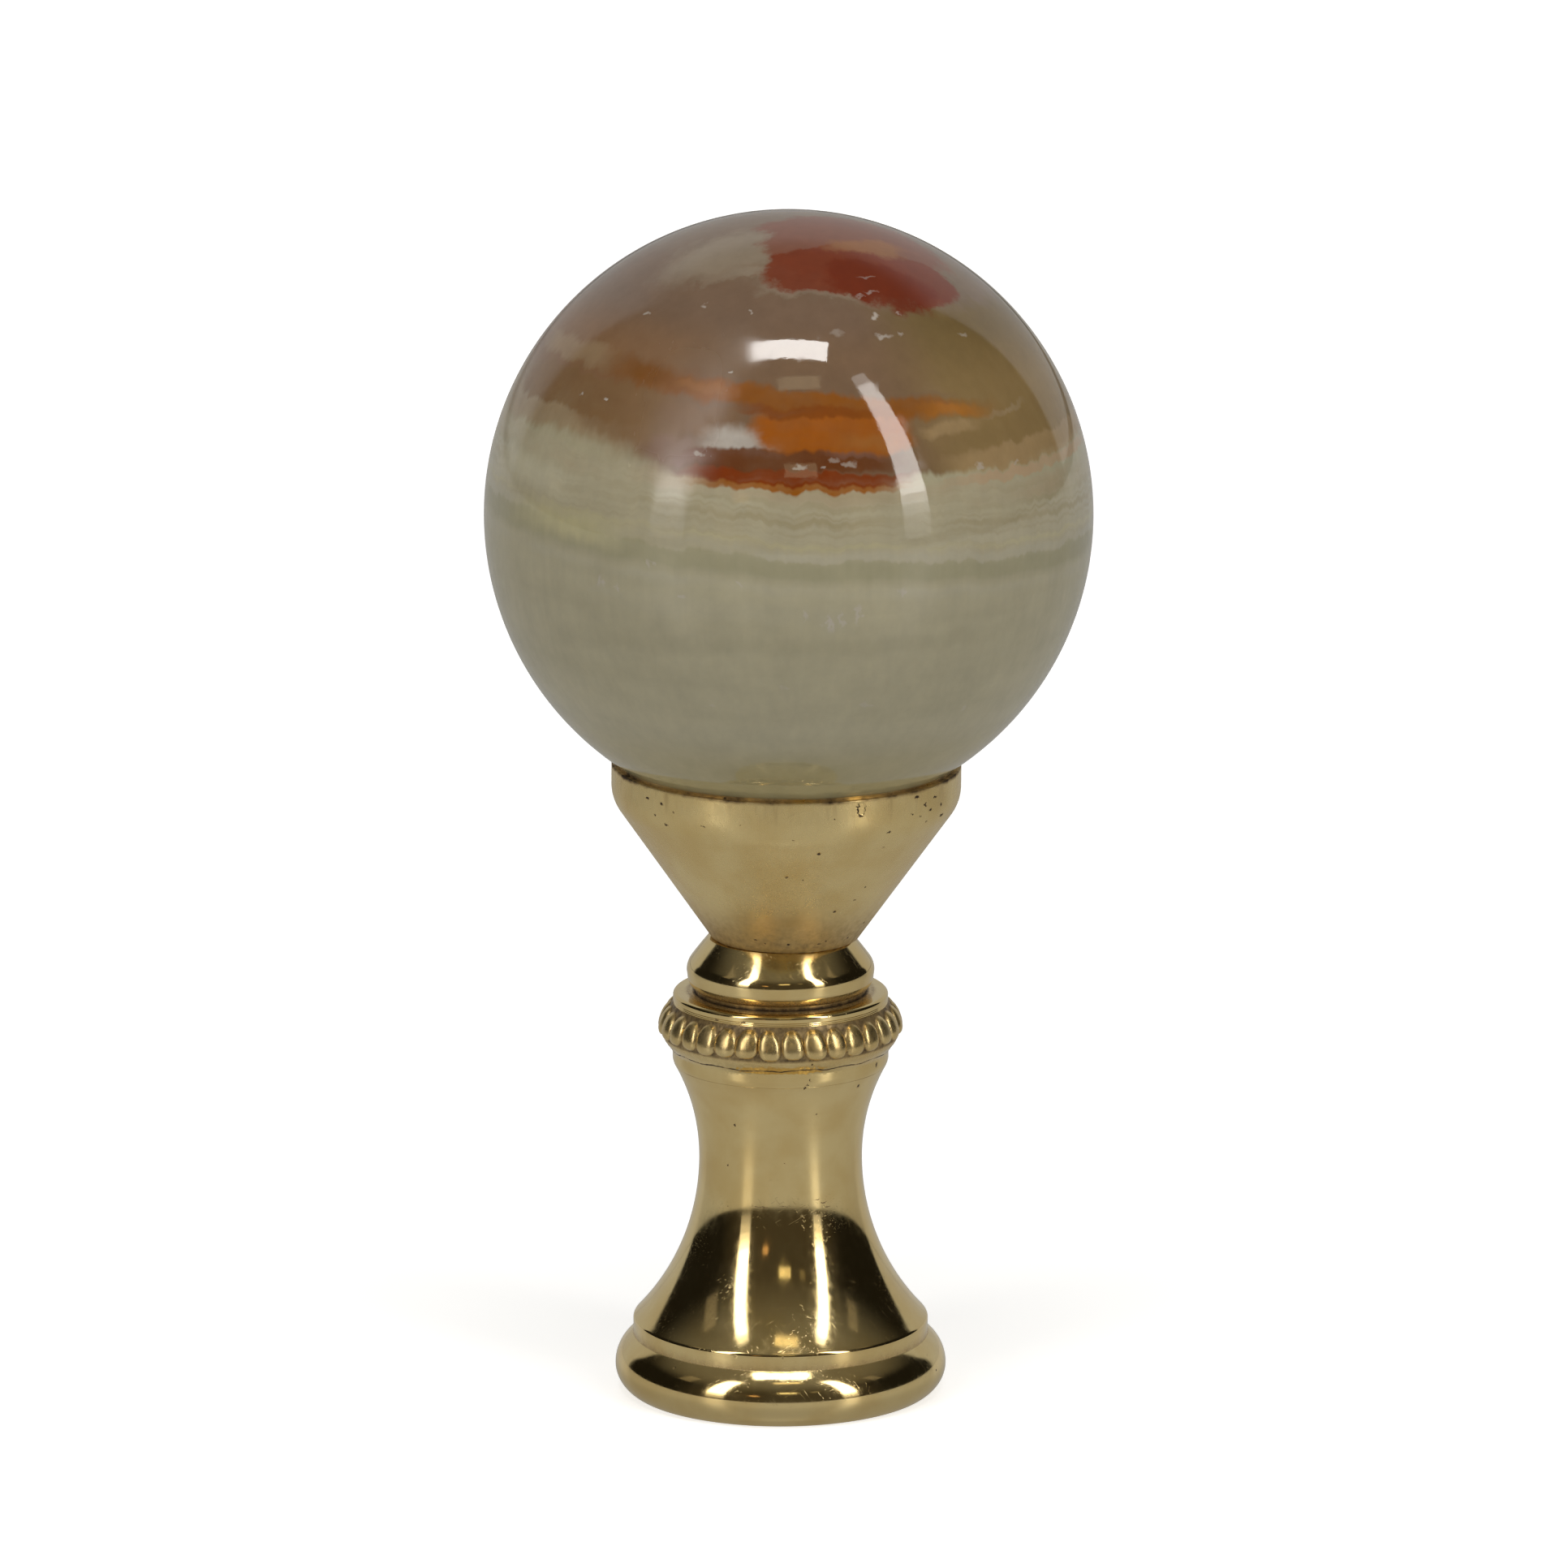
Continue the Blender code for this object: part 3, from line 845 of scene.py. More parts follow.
# The nick under the rim: turn, height and half sizes. The marks are its dark edges and small pits.
NICK = (25.0, 9.78, 1.25, 0.42)
CUP_MARKS = (
    (55.0, 8.95, 1.2, 0.12, 0.9), (53.5, 8.30, 0.9, 0.09, 0.8), (63.0, 8.35, 1.8, 0.13, 0.9),
    (36.0, 8.15, 1.2, 0.10, 0.8), (-45.0, 9.50, 1.1, 0.10, 0.9), (-43.5, 8.30, 1.3, 0.11, 0.8),
    (-28.0, 8.60, 0.9, 0.08, 0.7), (2.5, 8.05, 0.8, 0.07, 0.6), (36.0, 3.50, 1.4, 0.09, 0.7),
    (-20.6, 0.85, 2.2, 0.10, 0.8), (-14.0, 0.65, 1.4, 0.07, 0.7), (25.0, 0.55, 3.2, 0.09, 0.8),
    (29.5, 0.70, 1.6, 0.07, 0.8), (23.8, 9.78, 0.50, 0.50, 1.0), (26.4, 9.78, 0.30, 0.44, 0.7),
    (25.0, 9.36, 1.4, 0.09, 0.9), (47.5, 9.95, 1.6, 0.13, 0.9), (52.0, 9.35, 0.9, 0.16, 1.0),
    (45.5, 9.00, 0.7, 0.09, 0.9), (57.5, 9.62, 1.6, 0.10, 1.0), (61.5, 9.05, 0.8, 0.15, 1.0),
    (49.5, 8.72, 0.7, 0.08, 0.9), (-39.5, 9.15, 0.7, 0.08, 0.9), (-52.0, 9.62, 1.4, 0.10, 0.9),
    (-48.0, 8.72, 0.6, 0.08, 0.9),
)


def soft_patch(tree, at, up, at_turn, at_height, half_turn, half_height, slope, blur):
    """Mask of a patch, for a point at this turn and so far up."""
    inputs = {"Turn": at, "Height": up, "Centre Turn": at_turn, "Centre Height": at_height,
              "Half Turn": half_turn, "Half Height": half_height, "Slope": slope, "Blur": blur}
    return use_group(tree, SOFT_PATCH, inputs)["Mask"]


def nick_dent(tree, place):
    turn, height = turn_and_height(tree, place)
    return times(tree, soft_patch(tree, turn, height, *NICK, 0.0, 0.25), NICK_DEPTH)


def polish_streaks(tree, place):
    """Faint brown stains that run down from the glue line, and over the face of the band."""
    turn, height = turn_and_height(tree, place)
    stain = noise_value(tree, place, 1.2, stretch=(1.0, 1.0, 0.12), detail=4.0, roughness=0.6)
    near_rim = fade(tree, height, 7.4, 10.2)
    return times(tree, fade(tree, stain, 0.45, 0.75), near_rim, STREAK_SHARE)


satin = brass_finish(
    "satin_brass", gloss=0.20, rubbed=0.08, haze=0.10, ring_bump=0.0008, pits=(0.15, 0.26),
    marks=CUP_MARKS, dulled=(-0.5, 2.4, 0.8, 0.03), extra_dirt=polish_streaks, extra_dent=nick_dent,
)
cup.data.materials.append(satin)
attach(cup, "root")
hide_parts("brass_cup")


# Onyx ball
# A 35 mm ball ground and polished from banded green onyx and glued into the cup. Pale khaki green
# below, thin wavy cream and green bands at the middle, then brown, orange and mauve layers, and a
# red patch on top. The layers lie nearly level and fall a little to the right.
BALL_PLACE = (0.467, 0.0, 51.94)
BALL_AROUND = 256
BALL_RINGS = 128

KHAKI = (0.585, 0.542, 0.375, 1.0)
KHAKI_DEEP = (0.5, 0.462, 0.31, 1.0)
KHAKI_LOW = (0.52, 0.455, 0.25, 1.0)
GREEN_BAND = (0.45, 0.42, 0.265, 1.0)
GREEN_LINE = (0.47, 0.4, 0.245, 1.0)
YELLOW_GREEN = (0.66, 0.61, 0.36, 1.0)
CREAM = (0.59, 0.54, 0.385, 1.0)
PALE_LINE = (0.58, 0.55, 0.42, 1.0)
PALE_CREAM = (0.72, 0.68, 0.51, 1.0)
CREAM_TAN = (0.53, 0.42, 0.27, 1.0)
TAN_PINK = (0.62, 0.43, 0.27, 1.0)
RED_LINE = (0.29, 0.05, 0.004, 1.0)
RED_ORANGE = (0.42, 0.14, 0.012, 1.0)
ORANGE = (0.45, 0.13, 0.01, 1.0)
ORANGE_PALE = (0.43, 0.19, 0.05, 1.0)
ORANGE_GLOW = (0.58, 0.22, 0.03, 1.0)
DARK_ORANGE = (0.29, 0.076, 0.006, 1.0)
STRIPE_ORANGE = (0.35, 0.115, 0.010, 1.0)
BURNT_BROWN = (0.26, 0.10, 0.018, 1.0)
MAUVE_DARK = (0.19, 0.055, 0.012, 1.0)
MAUVE_PINK = (0.34, 0.20, 0.155, 1.0)
MAUVE_GREY = (0.29, 0.165, 0.085, 1.0)
BROWN_LEFT = (0.29, 0.17, 0.08, 1.0)
BROWN_SOFT = (0.41, 0.285, 0.165, 1.0)
WARM_BROWN = (0.31, 0.175, 0.09, 1.0)
BODY = (0.255, 0.158, 0.092, 1.0)
BODY_GREY = (0.24, 0.155, 0.101, 1.0)
OLIVE = (0.23, 0.155, 0.06, 1.0)
OLIVE_PALE = (0.35, 0.24, 0.105, 1.0)
OLIVE_TAN = (0.48, 0.335, 0.17, 1.0)
GREY_TAN = (0.26, 0.18, 0.12, 1.0)
GREY_CREAM = (0.37, 0.305, 0.225, 1.0)
RED = (0.235, 0.042, 0.012, 1.0)
RED_DARK = (0.205, 0.026, 0.004, 1.0)
RED_MAUVE = (0.27, 0.100, 0.060, 1.0)
RED_CORE = (0.35, 0.145, 0.050, 1.0)
WHITE = (0.66, 0.61, 0.55, 1.0)

# Thin wavy bands round the middle: lower and upper edge in ball radii, edge blur, colour, strength
THIN_BANDS = (
    (-0.050, -0.026, 0.020, PALE_LINE, 0.62),
    (-0.010, 0.066, 0.022, GREEN_BAND, 0.85),
    (-0.012, 0.002, 0.014, CREAM, 0.35),
    (0.064, 0.31, 0.007, CREAM, 0.80),
    (0.064, 0.090, 0.008, PALE_LINE, 0.65),
    (0.104, 0.120, 0.008, YELLOW_GREEN, 0.45),
    (0.150, 0.160, 0.006, GREEN_LINE, 0.35),
    (0.176, 0.196, 0.007, GREEN_LINE, 0.65),
    (0.206, 0.214, 0.005, GREEN_LINE, 0.45),
    (0.228, 0.246, 0.006, GREEN_LINE, 0.55),
    (0.246, 0.31, 0.012, CREAM_TAN, 0.65),
)

# Patches, from the bottom of the stone up: turn in degrees, height in ball radii, half turn, half
# height, slope per degree, edge blur, colour, strength
PATCHES = (
    (-15.0, -0.11, 32.0, 0.055, -0.0005, 0.9, PALE_LINE, 0.22),
    (8.0, -0.14, 4.0, 0.050, 0.0, 0.8, PALE_LINE, 0.30),
    (-36.0, -0.075, 5.0, 0.018, 0.0, 0.8, PALE_LINE, 0.30),
    (5.0, -0.235, 75.0, 0.045, 0.0, 0.9, KHAKI_DEEP, 0.60),
    (-47.0, 0.110, 20.0, 0.068, 0.0, 0.9, YELLOW_GREEN, 0.90),
    (-60.0, 0.245, 26.0, 0.075, 0.0, 0.9, PALE_CREAM, 0.75),
    (2.0, 0.186, 24.0, 0.012, -0.0005, 0.6, GREEN_LINE, 0.50),
    (60.0, 0.282, 36.0, 0.020, 0.0, 0.5, TAN_PINK, 0.75),
    (64.0, 0.335, 36.0, 0.045, 0.0, 0.4, OLIVE_TAN, 0.90),
    (68.0, 0.395, 40.0, 0.030, 0.0, 0.6, OLIVE_PALE, 0.85),
    (66.0, 0.435, 34.0, 0.030, 0.0006, 0.5, OLIVE_PALE, 0.80),
    (36.0, 0.440, 9.0, 0.026, 0.0, 0.7, OLIVE_TAN, 0.85),
    (52.0, 0.468, 10.0, 0.014, 0.0010, 0.9, CREAM_TAN, 0.45),
    (-92.0, 0.43, 34.0, 0.07, 0.0, 0.8, BROWN_SOFT, 0.55),
    (-54.0, 0.43, 34.0, 0.055, 0.0008, 0.7, BROWN_SOFT, 0.75),
    (-52.0, 0.515, 31.0, 0.068, 0.0, 0.30, BROWN_LEFT, 0.92),
    (-38.0, 0.455, 16.0, 0.050, -0.0010, 0.6, BROWN_LEFT, 0.70),
    (-64.0, 0.622, 24.0, 0.040, 0.0, 0.6, BROWN_SOFT, 0.85),
    (-24.0, 0.395, 8.0, 0.055, 0.0, 0.6, MAUVE_PINK, 0.50),
    (-19.0, 0.490, 12.0, 0.058, 0.0, 0.5, MAUVE_GREY, 0.90),
    (-10.0, 0.426, 9.2, 0.054, -0.0016, 0.8, WHITE, 0.88),
    (0.0, 0.372, 25.0, 0.042, 0.0, 0.35, MAUVE_DARK, 0.93),
    (-20.0, 0.372, 7.0, 0.030, 0.0, 0.8, MAUVE_PINK, 0.50),
    (2.0, 0.292, 25.0, 0.019, -0.0003, 0.5, RED_ORANGE, 0.95),
    (1.5, 0.318, 26.0, 0.027, -0.0004, 0.4, RED_LINE, 0.97),
    (10.0, 0.455, 18.5, 0.070, 0.0, 0.25, ORANGE, 0.97),
    (17.0, 0.425, 10.0, 0.036, 0.0, 0.9, ORANGE_PALE, 0.55),
    (13.0, 0.388, 8.0, 0.014, 0.0, 0.8, MAUVE_PINK, 0.40),
    (4.0, 0.545, 50.0, 0.042, -0.0014, 0.55, STRIPE_ORANGE, 0.92),
    (-33.0, 0.605, 19.0, 0.055, -0.0008, 0.9, BURNT_BROWN, 0.80),
    (5.0, 0.514, 20.0, 0.024, -0.0004, 0.6, DARK_ORANGE, 0.85),
    (-20.0, 0.585, 9.0, 0.020, -0.0012, 0.8, ORANGE_PALE, 0.55),
    (30.0, 0.545, 14.0, 0.015, -0.0010, 0.8, BODY, 0.45),
    (37.0, 0.490, 12.0, 0.028, -0.0014, 0.8, ORANGE_GLOW, 0.60),
)

# White flecks: turn, height, half turn, half height, strength
FLECKS = (
    (-20.0, -0.065, 1.3, 0.010, 0.6), (16.0, -0.44, 1.2, 0.010, 0.4), (41.0, -0.50, 1.6, 0.012, 0.4),
    (-1.0, -0.37, 1.0, 0.009, 0.3), (-16.0, -0.445, 1.0, 0.007, 0.35), (2.5, 0.352, 1.6, 0.011, 0.6),
    (6.2, 0.350, 0.8, 0.008, 0.6), (12.0, 0.357, 2.0, 0.013, 0.50), (9.5, 0.372, 1.4, 0.010, 0.4),
    (40.5, 0.312, 1.6, 0.014, 0.55), (50.0, 0.302, 1.0, 0.008, 0.4), (-43.5, 0.515, 1.2, 0.009, 0.95),
    (-51.0, 0.510, 0.7, 0.006, 0.7), (26.0, 0.770, 2.4, 0.010, 0.75), (25.5, 0.718, 3.0, 0.011, 0.65),
    (31.0, 0.718, 1.0, 0.007, 0.5), (13.0, 0.735, 2.4, 0.014, 0.30), (-13.5, 0.630, 0.9, 0.006, 0.85),
    (-45.0, 0.760, 1.3, 0.006, 0.6), (-27.0, 0.802, 1.3, 0.006, 0.5), (-11.5, 0.792, 1.1, 0.005, 0.6),
    (51.0, 0.690, 1.4, 0.008, 0.4), (-18.0, 0.388, 1.6, 0.010, 0.6), (34.0, 0.772, 1.6, 0.005, 0.4),
    (29.0, 0.838, 3.0, 0.006, 0.4), (24.0, 0.826, 2.0, 0.004, 0.3), (31.0, 0.872, 5.0, 0.005, 0.30),
    (7.5, -0.150, 0.8, 0.045, 0.70), (9.8, -0.135, 0.6, 0.036, 0.60), (12.8, -0.120, 0.8, 0.040, 0.60),
    (-37.0, -0.050, 0.9, 0.026, 0.65), (-33.5, -0.065, 0.7, 0.020, 0.60), (3.0, -0.120, 0.6, 0.026, 0.60),
    (-26.0, 0.030, 0.8, 0.018, 0.50), (21.0, -0.060, 0.7, 0.022, 0.50), (-9.0, -0.020, 0.6, 0.020, 0.50),
)


def make_ball_mesh():
    rings = [[Vector((0.0, 0.0, BALL_D / 2)) * MM]]
    for index in range(1, BALL_RINGS):
        down = math.pi * index / BALL_RINGS
        rings.append(ring(BALL_D / 2 * math.sin(down), BALL_D / 2 * math.cos(down), BALL_AROUND))
    rings.append([Vector((0.0, 0.0, -BALL_D / 2)) * MM])
    return turned_piece("onyx_ball_banded", rings, lambda point: 0.0)


def make_onyx_layer():
    """A layer of the stone: 1 between two heights, with an edge blur."""
    group, given, result = effect_group(
        "onyx_layer", {"Height": 0.0, "Low": 0.0, "High": 0.1, "Blur": 0.02}
    )
    above, over = (
        fade(
            group, given["Height"], maths(group, "SUBTRACT", given[edge], given["Blur"]),
            maths(group, "ADD", given[edge], given["Blur"]),
        )
        for edge in ("Low", "High")
    )
    group.links.new(maths(group, "SUBTRACT", above, over, clamp=True), result["Mask"])
    return group


ONYX_LAYER = make_onyx_layer()


def onyx_material():
    material, tree, shader = new_material("onyx")
    place = vector_maths(tree, "SCALE", {0: millimetres(tree), "Scale": 2 / BALL_D})
    turn, height = turn_and_height(tree, place)
    parts = axes_of(tree, place)

    def wave(scale, stretch, size, detail=3.0):
        """A noise about zero, of this size."""
        value = noise_value(tree, place, scale, stretch=stretch, detail=detail, roughness=0.58)
        return times(tree, maths(tree, "SUBTRACT", value, 0.5), size)

    # The crystal fibres stand upright across the layers, so every edge is finely toothed
    drift = wave(1.7, (1.0, 1.0, 1.0), 0.05)
    ragged = wave(8.0, (1.0, 1.0, 0.4), 0.050)
    teeth = wave(20.0, (1.0, 1.0, 0.05), 0.045, detail=2.0)
    rough_edge = maths(tree, "ADD", ragged, teeth)
    wavy = maths(tree, "ADD", maths(tree, "ADD", height, drift), rough_edge)
    level = maths(tree, "MULTIPLY_ADD", parts["X"], 0.07, wavy)
    calm = maths(tree, "SUBTRACT", level, times(tree, teeth, 0.75))
    blotchy = wave(5.0, (1.0, 1.0, 1.6), 1.0, detail=4.0)
    bent_turn = maths(tree, "MULTIPLY_ADD", blotchy, 9.0, turn)

    def layer(low, high, blur):
        """A level layer of the stone. Soft ones have no teeth."""
        at = calm if blur > 0.012 else level
        return use_group(
            tree, ONYX_LAYER, {"Height": at, "Low": low, "High": high, "Blur": blur}
        )["Mask"]

    def bent_place(up):
        """The place, with its height moved to this wavy level."""
        return add_node(
            tree, "ShaderNodeCombineXYZ", {"X": parts["X"], "Y": parts["Y"], "Z": up}
        ).outputs[0]

    # Pale khaki green, in faint even layers
    strata = noise_value(tree, place, 1.0, stretch=(1.2, 1.2, 9.0))
    strata = times(tree, fade(tree, strata, 0.35, 0.8), 0.55)
    colour = mix_colour(tree, strata, KHAKI, KHAKI_DEEP)
    lower = fade(tree, height, -0.55, -0.75)
    colour = mix_colour(tree, lower, colour, KHAKI_LOW)

    patchy = fade(tree, noise_value(tree, place, 3.2, stretch=(1.0, 1.0, 2.2), detail=4.0), 0.30, 0.62)
    for low, high, blur, tone, share in THIN_BANDS:
        mask = times(tree, layer(low, high, blur), share)
        if share < 0.7:
            mask = times(tree, mask, patchy)
        colour = mix_colour(tree, mask, colour, tone)
    thin = noise_value(tree, bent_place(level), 1.0, stretch=(3.5, 3.5, 42.0), roughness=0.55)
    banded = times(tree, layer(0.09, 0.30, 0.02), fade(tree, thin, 0.44, 0.68), 0.32)
    colour = mix_colour(tree, banded, colour, GREEN_LINE)

    # The brown body above them: its lower edge is sharp in front and soft and higher on the left.
    # What depends on the turn fades out towards the back, so that the two ends of the turn meet.
    not_back = fade(tree, maths(tree, "ABSOLUTE", turn), 172.0, 115.0)
    left = times(tree, fade(tree, bent_turn, -18.0, -52.0), not_back)
    edge = maths(tree, "MULTIPLY_ADD", left, 0.15, 0.315)
    soft = maths(tree, "MULTIPLY_ADD", left, 0.11, 0.012)
    body = fade(tree, wavy, maths(tree, "SUBTRACT", edge, soft), maths(tree, "ADD", edge, soft))
    tone = mix_colour(tree, fade(tree, height, 0.66, 0.78), BODY, BODY_GREY)
    warm_left = fade(tree, bent_turn, -12.0, -40.0)
    warm = times(tree, warm_left, fade(tree, height, 0.80, 0.66), not_back, 0.9)
    tone = mix_colour(tree, warm, tone, WARM_BROWN)
    olive = times(tree, fade(tree, bent_turn, 18.0, 42.0), not_back)
    olive_tone = mix_colour(tree, fade(tree, height, 0.50, 0.74), OLIVE_PALE, OLIVE)
    tone = mix_colour(tree, olive, tone, olive_tone)
    colour = mix_colour(tree, body, colour, tone)

    top = fade(tree, maths(tree, "MULTIPLY_ADD", parts["X"], 0.16, wavy), 0.82, 0.87)
    colour = mix_colour(tree, times(tree, top, 0.9), colour, GREY_TAN)

    spread = maths(tree, "MULTIPLY_ADD", blotchy, 0.9, 0.95)
    for *shape, tone, share in PATCHES:
        mask = times(tree, soft_patch(tree, bent_turn, wavy, *shape), share)
        mask = maths(tree, "MULTIPLY", mask, spread, clamp=True)
        colour = mix_colour(tree, mask, colour, tone)

    # The grey cream layer and the red patch on top. Their places are on the ball in three axes.
    warp = stirred(tree, place, 5.0, 5.0, 0.62)
    bent = vector_maths(tree, "MULTIPLY_ADD", {0: warp, 1: (0.30, 0.22, 0.05), 2: place})
    for centre, lean, half, blur, tone, share in (
        ((-0.20, -0.30, 0.93), 0.1, (0.36, 0.17, 0.2), 0.50, GREY_CREAM, 0.75),
        ((-0.08, -0.45, 0.88), -0.10, (0.26, 0.035, 0.2), 0.8, GREY_CREAM, 0.70),
        ((0.12, -0.51, 0.85), -0.04, (0.24, 0.045, 0.2), 0.7, GREY_CREAM, 0.85),
        ((0.22, -0.21, 0.93), 0.25, (0.36, 0.26, 0.22), 0.16, RED_MAUVE, 0.95),
        ((0.27, -0.37, 0.89), 0.22, (0.37, 0.162, 0.2), 0.14, RED, 0.95),
        ((0.29, -0.43, 0.84), 0.10, (0.21, 0.118, 0.2), 0.30, RED_DARK, 0.92),
        ((0.26, -0.23, 0.94), 0.42, (0.19, 0.080, 0.2), 0.5, RED_CORE, 0.95),
    ):
        mask = use_group(
            tree, SOFT_SPOT,
            {"Place": bent, "Centre": centre, "Turn": (0.0, 0.0, lean), "Half Size": half, "Blur": blur},
        )["Mask"]
        colour = mix_colour(tree, times(tree, mask, share), colour, tone)

    flecks = marks_mask(tree, ragged_place(tree, place, 32.0, 5.0, 0.035), FLECKS)
    colour = mix_colour(tree, flecks, colour, WHITE)

    # Cloudiness inside the stone, and the faint upright fibres
    fibres = noise_value(tree, place, 30.0, stretch=(1.0, 1.0, 0.07), detail=2.0)
    cloud = noise_value(tree, place, 9.0, detail=5.0, roughness=0.65)
    shade = maths(tree, "ADD", times(tree, fibres, 0.12), times(tree, cloud, 0.30))
    shade = maths(tree, "ADD", shade, 0.79)
    colour = vector_maths(tree, "SCALE", {0: colour, "Scale": shade})

    # The polish is duller on the left of the face, and lightly scratched all over
    dull = soft_patch(tree, turn, height, -24.0, 0.53, 22.0, 0.41, 0.0, 0.97)
    dull_side = soft_patch(tree, turn, height, -75.0, 0.50, 45.0, 0.50, 0.0, 0.8)
    scratches = noise_value(tree, place, 26.0, stretch=(1.0, 1.0, 0.3))
    rough = maths(tree, "MULTIPLY_ADD", fade(tree, scratches, 0.55, 0.75), 0.10, 0.035)
    rough = maths(tree, "MULTIPLY_ADD", dull, 0.34, rough)
    rough = maths(tree, "MULTIPLY_ADD", dull_side, 0.12, rough)
    dents = add_node(
        tree, "ShaderNodeBump", {"Height": cloud, "Strength": 0.25, "Distance": 0.02 * MM}
    ).outputs[0]

    tree.links.new(colour, shader.inputs["Base Color"])
    tree.links.new(rough, shader.inputs["Roughness"])
    tree.links.new(dents, shader.inputs["Normal"])
    shader.inputs["IOR"].default_value = 1.62
    shader.inputs["Subsurface Weight"].default_value = 0.35
    shader.inputs["Subsurface Radius"].default_value = (1.0, 0.85, 0.7)
    shader.inputs["Subsurface Scale"].default_value = 4 * MM
    return material


ball = make_ball_mesh()
ball.location = Vector(BALL_PLACE) * MM
ball.data.materials.append(onyx_material())
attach(ball, "root")
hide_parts("onyx_ball")


# Studio
# A glossy pale table top that glows by itself into the brass and the stone, a dark room with a pale
# backdrop behind, two tall strip lights to the left and right in front, a soft box overhead, and small
# warm lamps in the room behind the camera.
STUDIO_CENTRE = Vector((0.0, 0.0, 0.045))
PANEL_AWAY = 1.3
FLOOR_HALF = 4.0
FLOOR_GLOW = 0.38               # painted light: the glow that the table, which is no lamp, gives into the brass and the stone
FLOOR_WHITE_LIFT = 0.66         # what keeps it white in the picture
FLOOR_FAR_LIFT = 1.02           # the same, far from the finial
TABLE_END = 1.05                # how far out it is lit
TABLE_FADE = 0.1                # and over what distance the light ends
PAINTED_SHADE_NEAR = 0.22               # painted shadow: how much less of that glow there is under the foot, and behind the finial
PAINTED_FOOT_SHADOW = (0.0165, 0.0095)   # the painted shadow under the foot ends and is full at these distances
FAR_FROM = (0.12, 0.60)         # where the far lift starts and is full
FLOOR_TONE = (0.80, 0.80, 0.80, 1.0)
FLOOR_MOTTLE = (0.82, 0.82, 0.82, 1.0)
FLOOR_UNSEEN = (0.02, 0.02, 0.02, 1.0)  # to all but the camera it is only its own glow
WARM_GLOW = (1.0, 0.98, 0.93, 1.0)
WHITE_LIGHT = (1.0, 1.0, 1.0, 1.0)
ROOM_SIDES = (0.011, 0.010, 0.008, 1.0)
ROOM_FRONT = (0.056, 0.048, 0.035, 1.0)
ROOM_CEILING = (0.16, 0.15, 0.125, 1.0)
BACKDROP_TONE = (0.42, 0.42, 0.41, 1.0)


def light_panel(name, turn, low, high, wide, brightness, tone):
    """An upright rectangular light. Turn, low and high edge and width are the angles that it fills."""
    angle = math.radians(turn)
    out = Vector((math.sin(angle), -math.cos(angle), 0.0))
    bottom, top = (PANEL_AWAY * math.tan(math.radians(edge)) for edge in (low, high))
    width = 2 * PANEL_AWAY * math.tan(math.radians(wide / 2))
    centre = STUDIO_CENTRE + PANEL_AWAY * out + Vector((0.0, 0.0, (bottom + top) / 2))
    return hang_light(name, centre, -out, width, top - bottom, brightness, tone)


def hang_light(name, centre, facing, width, depth, brightness, tone):
    """A rectangular light of this radiance, which the camera doesn't see."""
    data = bpy.data.lights.new(name, "AREA")
    data.shape = "RECTANGLE"
    data.size = width
    data.size_y = depth
    data.energy = 4 * width * depth * brightness
    data.color = tone
    panel = bpy.data.objects.new(name, data)
    panel.location = centre
    panel.rotation_euler = facing.to_track_quat("-Z", "Y").to_euler()
    panel.visible_camera = False
    bpy.context.scene.collection.objects.link(panel)
    return panel


STRIP_WHITE = (1.0, 0.97, 0.93)
LAMP_WARM = (1.0, 0.86, 0.52)
STRIP_PARTS = (                 # name, low and high edge, and share of the full brightness
    ("_top", 56.0, 60.0, 0.35),
    ("", 15.5, 56.0, 1.0),
    ("_low", 12.0, 15.5, 0.55),
    ("_lower", 8.5, 12.0, 0.30),
    ("_foot", 4.5, 8.5, 0.17),
    ("_end", 0.5, 4.5, 0.10),
)
for name, turn, wide, brightness in (
    ("right", 49.4, 10.8, 5.0),
    ("left", -46.5, 13.5, 3.4),
):
    for part, low, high, share in STRIP_PARTS:
        light_panel("strip_light_" + name + part, turn, low, high, wide, brightness * share, STRIP_WHITE)
light_panel("side_window_right", 81.0, 32.0, 45.0, 9.0, 0.10, (1.0, 0.88, 0.70))
light_panel("side_window_left", -79.0, 30.0, 45.0, 12.0, 0.11, (1.0, 0.88, 0.70))
light_panel("warm_lamp_front", 5.0, 25.9, 31.0, 13.6, 0.86, LAMP_WARM)
light_panel("warm_lamp_small", -18.8, 15.8, 19.2, 6.0, 0.75, (1.0, 0.6, 0.28))
light_panel("warm_lamp_dim", 26.0, 26.5, 31.0, 6.0, 0.12, LAMP_WARM)
hang_light(
    "warm_lamp_high", STUDIO_CENTRE + Vector((0.081, -0.604, 1.157)), Vector((-0.062, 0.461, -0.885)),
    0.32, 0.12, 0.85, (1.0, 0.84, 0.52),
)
hang_light(
    "soft_box_overhead", STUDIO_CENTRE + Vector((0.0, -0.303, 1.264)), Vector((0.0, 0.233, -0.972)),
    0.56, 0.19, 9.5, (1.0, 0.98, 0.95),
)


